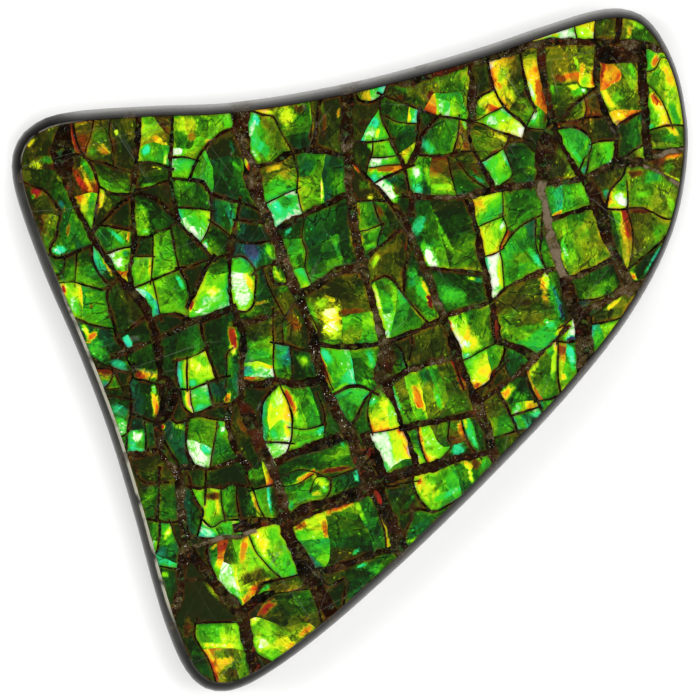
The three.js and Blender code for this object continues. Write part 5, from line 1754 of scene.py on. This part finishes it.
class AMMOLITE_OT_shale(bpy.types.Operator):
    """Models the shale slab that carries the shell, with its polished edge and flat back"""
    bl_idname = "ammolite.shale"
    bl_label = "Shale slab"

    def execute(self, context):
        size = sizes()
        outline = stone_outline()
        step = size.back_bevel * BEVEL_STEP
        levels = [
            (LOW.z, size.back_bevel, 0.0),
            (LOW.z + step, step, 0.0),
            (LOW.z + size.back_bevel, 0.0, 0.0),
        ]
        rise = HIGH.z - LOW.z - size.side_top
        for i in range(size.round_steps + 1):
            turn = size.round_end * i / size.round_steps
            share = (1 - math.cos(turn)) / (1 - math.cos(size.round_end))
            height = LOW.z + size.side_top + rise * math.sin(turn) / math.sin(size.round_end)
            levels.append((height, 0.0, share))
        levels.append((HIGH.z, size.lip, 1.0))
        levels.append((HIGH.z - size.bed_depth, size.lip, 1.0))
        deselect_everything()
        bpy.ops.mesh.primitive_circle_add(vertices=OUTLINE_POINTS, radius=RING_RADIUS, fill_type="NOTHING")
        slab = context.active_object
        slab.name = "shale_slab"
        self.place_ring(slab, outline, levels[0], 0)
        for level, row in enumerate(levels[1:], start=1):
            bpy.ops.object.mode_set(mode="EDIT")
            bpy.ops.mesh.select_mode(type="VERT")
            if level == 1:
                bpy.ops.mesh.select_all(action="SELECT")
            bpy.ops.mesh.extrude_edges_move(TRANSFORM_OT_translate={"value": (0, 0, RING_LIFT)})
            bpy.ops.object.mode_set(mode="OBJECT")
            self.place_ring(slab, outline, row, level)
        for level in (0, len(levels) - 1):
            self.select_ring(slab, level)
            bpy.ops.object.mode_set(mode="EDIT")
            bpy.ops.mesh.edge_face_add()
            bpy.ops.mesh.quads_convert_to_tris()
            bpy.ops.object.mode_set(mode="OBJECT")
        bpy.ops.object.mode_set(mode="EDIT")
        bpy.ops.mesh.select_all(action="SELECT")
        bpy.ops.mesh.normals_make_consistent(inside=False)
        bpy.ops.object.mode_set(mode="OBJECT")
        bpy.ops.object.transform_apply(location=True, rotation=True, scale=True)
        bpy.ops.object.shade_smooth_by_angle(angle=SMOOTH_BEND)
        self.write_rim(slab, outline, levels)
        slab.data.materials.append(shale_material())
        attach(slab, "root")
        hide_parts(NODE)
        return {"FINISHED"}

    @staticmethod
    def write_rim(slab, outline, levels):
        """Stores how far each point is round the edge, and which way it faces, for the material."""
        layers = {
            "rim": [share for _, _, share in levels for _ in outline[1]],
            "pale": [-n.dot(REFLECTION_SIDE) for n in outline[1]] * len(levels),
            "right": [-n.x for n in outline[1]] * len(levels),
        }
        for name, values in layers.items():
            slab.data.attributes.new(name, "FLOAT", "POINT").data.foreach_set("value", values)

    @staticmethod
    def place_ring(slab, outline, row, level):
        height, inset, share = row
        ring = ring_at(outline, inset, share)
        start = level * OUTLINE_POINTS
        for i, point in enumerate(ring):
            slab.data.vertices[start + i].co = (point.x, point.y, height)

    @staticmethod
    def select_ring(slab, level):
        bpy.ops.object.mode_set(mode="EDIT")
        bpy.ops.mesh.select_mode(type="VERT")
        bpy.ops.mesh.select_all(action="DESELECT")
        bpy.ops.object.mode_set(mode="OBJECT")
        for i in range(OUTLINE_POINTS):
            slab.data.vertices[level * OUTLINE_POINTS + i].select = True


# How far from a facet a point may lie and still mean it.
NEAR_ENOUGH = 5 * GRID_STEP


class FacetFinder:
    """Tells which facet a point of the face lies in, or is nearest to."""

    def __init__(self, places, fragments):
        self.keys, corners = [], []
        for number, facets in enumerate(fragments):
            for part, facet in enumerate(facets):
                for triangle in facet:
                    self.keys.append((number, part))
                    corners.append([tuple(places[i]) for i in triangle])
        self.corners = np.array(corners)

    def find(self, point):
        a, b, c = (self.corners[:, k] for k in range(3))
        spot = np.array(tuple(point))
        inside = np.ones(len(a), bool)
        for start, end in ((a, b), (b, c), (c, a)):
            run, away = end - start, spot - start
            inside &= run[:, 0] * away[:, 1] - run[:, 1] * away[:, 0] >= 0
        if inside.any():
            return self.keys[int(np.argmax(inside))]
        gaps = np.hypot(*((a + b + c) / 3 - spot).T)
        if gaps.min() >= NEAR_ENOUGH:
            raise ValueError("no facet near %s" % spot)
        return self.keys[int(np.argmin(gaps))]


def border_reach(places, triangles, used):
    """For each point of a fragment: how far the border is, and the direction towards it."""
    segments = border_edges(triangles)
    start = np.array([tuple(places[a]) for a, _ in segments])
    run = np.array([tuple(places[b]) for _, b in segments]) - start
    spots = np.array([tuple(places[i]) for i in used])
    away = spots[:, None, :] - start[None]
    t = np.clip((away * run[None]).sum(2) / (run * run).sum(1)[None], 0, 1)
    gap = np.hypot(*np.moveaxis(away - t[..., None] * run[None], 2, 0))
    nearest = gap.argmin(1)
    outward = np.stack([run[:, 1], -run[:, 0]], axis=1) / np.hypot(run[:, 0], run[:, 1])[:, None]
    return gap.min(1), outward[nearest]


SHELL_LAYERS = ["run", "play_a", "play_b", "glow_a", "glow_b", "seed", "grain", "edge", "shade",
                "flash", "flash_play", "flash_glow"]


def shell_plans(places, fragments):
    """The listed shades and flashes of each facet, by fragment number and facet number."""
    finder = FacetFinder(places, fragments)
    plans, flashes = {}, {}
    for start, rows in FACETS.items():
        for x, y, end, degrees in rows:
            key = finder.find(grid_point(x, y))
            if key in plans:
                raise ValueError("the facet at %d, %d is listed twice" % (x, y))
            plans[key] = (start, end, math.radians(degrees))
    for shade, rows in FLASHES.items():
        for x, y, length, width, degrees in rows:
            middle, turn = grid_point(x, y), math.radians(degrees)
            along = Vector((math.cos(turn), math.sin(turn)))
            half = (length * GRID_STEP / 2, width * GRID_STEP / 2)
            flashes.setdefault(finder.find(middle), []).append((middle, along, half, SHADES[shade]))
    return plans, flashes


# 2 makes a flash an oval, and more makes it squarer.
FLASH_POWER = 3.5


def flash_at(place, spots):
    """How strongly the strongest flash shows at a place, with its play and glow."""
    best = (-math.inf, 0.0, 0.0)
    for middle, along, half, (play, glow) in spots:
        away = place - middle
        long, wide = abs(away.dot(along)) / half[0], abs(away.cross(along)) / half[1]
        reach = (long ** FLASH_POWER + wide ** FLASH_POWER) ** (1 / FLASH_POWER)
        best = max(best, (1.0 - reach / 2, play, glow))
    return (min(1.0, max(0.0, best[0])), best[1], best[2])


# How wide the painted shade along a fragment's border is, in metres, and how fine the vein's relief is, in
# bumps a metre.
EDGE_BAND = 0.00028
RELIEF_SCALE = 2500
# Keeps a fragment's highest corner under the face and a division clear of zero, in metres.
TINY = 1e-6


class AMMOLITE_OT_face(bpy.types.Operator):
    """Models the shell fragments and the vein filling between them"""
    bl_idname = "ammolite.face"
    bl_label = "Shell and veins"

    def execute(self, context):
        size = sizes()
        outline = stone_outline()
        edge = even_loop(ring_at(outline, size.lip, 1.0), OUTLINE_POINTS)
        places, fragments, veins = face_map(edge)
        self.model_veins(places, veins, size)
        self.model_shell(places, fragments, size)
        return {"FINISHED"}

    @staticmethod
    def model_veins(places, veins, size):
        sums = {}
        for triangle, filling in veins:
            for i in triangle:
                row = sums.setdefault(i, np.zeros(4))
                row += (*FILLINGS[filling], 1.0)
        shares = {i: tuple(row[:3] / row[3]) for i, row in sums.items()}
        prisms = Prisms()
        top = HIGH.z - size.vein_depth

        def height(place):
            return top + size.vein_relief * noise.noise(Vector((*place * RELIEF_SCALE, 0.0)))

        def values(_, i):
            return shares[i]

        for group in connected([triangle for triangle, _ in veins], ()):
            prisms.add(places, [group], HIGH.z - size.bed_depth, height, 0.0, values)
        piece = prisms.build("vein_filling", ["tone", "sparkle", "redness"])
        piece.data.materials.append(vein_material())
        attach(piece, "root")
        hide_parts(NODE)

    @staticmethod
    def model_shell(places, fragments, size):
        draw = random.Random(size.seed)
        plans, flashes = shell_plans(places, fragments)
        sides = {"shell_left": Prisms(), "shell_right": Prisms()}
        for number, facets in enumerate(fragments):
            triangles = [triangle for facet in facets for triangle in facet]
            used = sorted({i for triangle in triangles for i in triangle})
            gaps, outward = border_reach(places, triangles, used)
            gap = dict(zip(used, gaps))
            facing = dict(zip(used, outward))
            middle = sum((places[i] for i in used), Vector((0, 0))) / len(used)
            seed, lean = draw.random(), draw.uniform(0, math.tau)
            direction = np.array((math.cos(lean), math.sin(lean)))
            slope = Vector(direction) * math.tan(size.fragment_tilt) * draw.random()
            top = HIGH.z - max(abs((places[i] - middle).dot(slope)) for i in used) - TINY
            runs = []
            for part, facet in enumerate(facets):
                quiet = (draw.choice(QUIET), draw.choice(QUIET), draw.uniform(0, math.tau))
                start, end, angle = plans.get((number, part), quiet)
                along = Vector((math.cos(angle), math.sin(angle)))
                reach = [places[i].dot(along) for triangle in facet for i in triangle]
                (play_a, glow_a), (play_b, glow_b) = SHADES[start], SHADES[end]
                look = (play_a, play_b, glow_a, glow_b)
                runs.append((along, min(reach), max(reach), look, angle, flashes.get((number, part), ())))

            def height(place, top=top, middle=middle, slope=slope):
                return top + (place - middle).dot(slope)

            def values(part, i, runs=runs, gap=gap, facing=facing, direction=direction, seed=seed):
                along, low, high, look, angle, spots = runs[part]
                t = (places[i].dot(along) - low) / max(high - low, TINY)
                shade = max(0.0, 1 - gap[i] / EDGE_BAND)
                # edge: the painted highlight, on the part of the border that faces the way the fragment leans.
                edge = shade * float(facing[i] @ direction)
                return (t, *look, seed, angle, edge, shade, *flash_at(places[i], spots))

            side = "shell_left" if middle.x < 0 else "shell_right"
            sides[side].add(places, facets, HIGH.z - size.bed_depth, height, size.fragment_bevel, values)
        material = shell_material()
        for name, prisms in sides.items():
            piece = prisms.build(name, SHELL_LAYERS)
            piece.data.materials.append(material)
            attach(piece, "root")
            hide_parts(NODE)


class AMMOLITE_PT_panel(bpy.types.Panel):
    bl_label = "Ammolite stone"
    bl_idname = "AMMOLITE_PT_panel"
    bl_space_type = "VIEW_3D"
    bl_region_type = "UI"
    bl_category = "Ammolite"

    def draw(self, context):
        for group in (sizes(), colors()):
            box = self.layout.box()
            for key in group.__annotations__:
                box.prop(group, key)
        for operator in (AMMOLITE_OT_stage, AMMOLITE_OT_shale, AMMOLITE_OT_face):
            self.layout.operator(operator.bl_idname)


CLASSES = (
    StoneSizes, StoneColors, AMMOLITE_OT_stage, AMMOLITE_OT_shale, AMMOLITE_OT_face, AMMOLITE_PT_panel,
)


def register():
    for item in CLASSES:
        bpy.utils.register_class(item)
    bpy.types.Scene.ammolite_sizes = PointerProperty(type=StoneSizes)
    bpy.types.Scene.ammolite_colors = PointerProperty(type=StoneColors)


def unregister():
    del bpy.types.Scene.ammolite_colors
    del bpy.types.Scene.ammolite_sizes
    for item in reversed(CLASSES):
        bpy.utils.unregister_class(item)


def main():
    register()
    bpy.ops.ammolite.stage()
    bpy.ops.ammolite.shale()
    bpy.ops.ammolite.face()


if __name__ == "__main__":
    main()
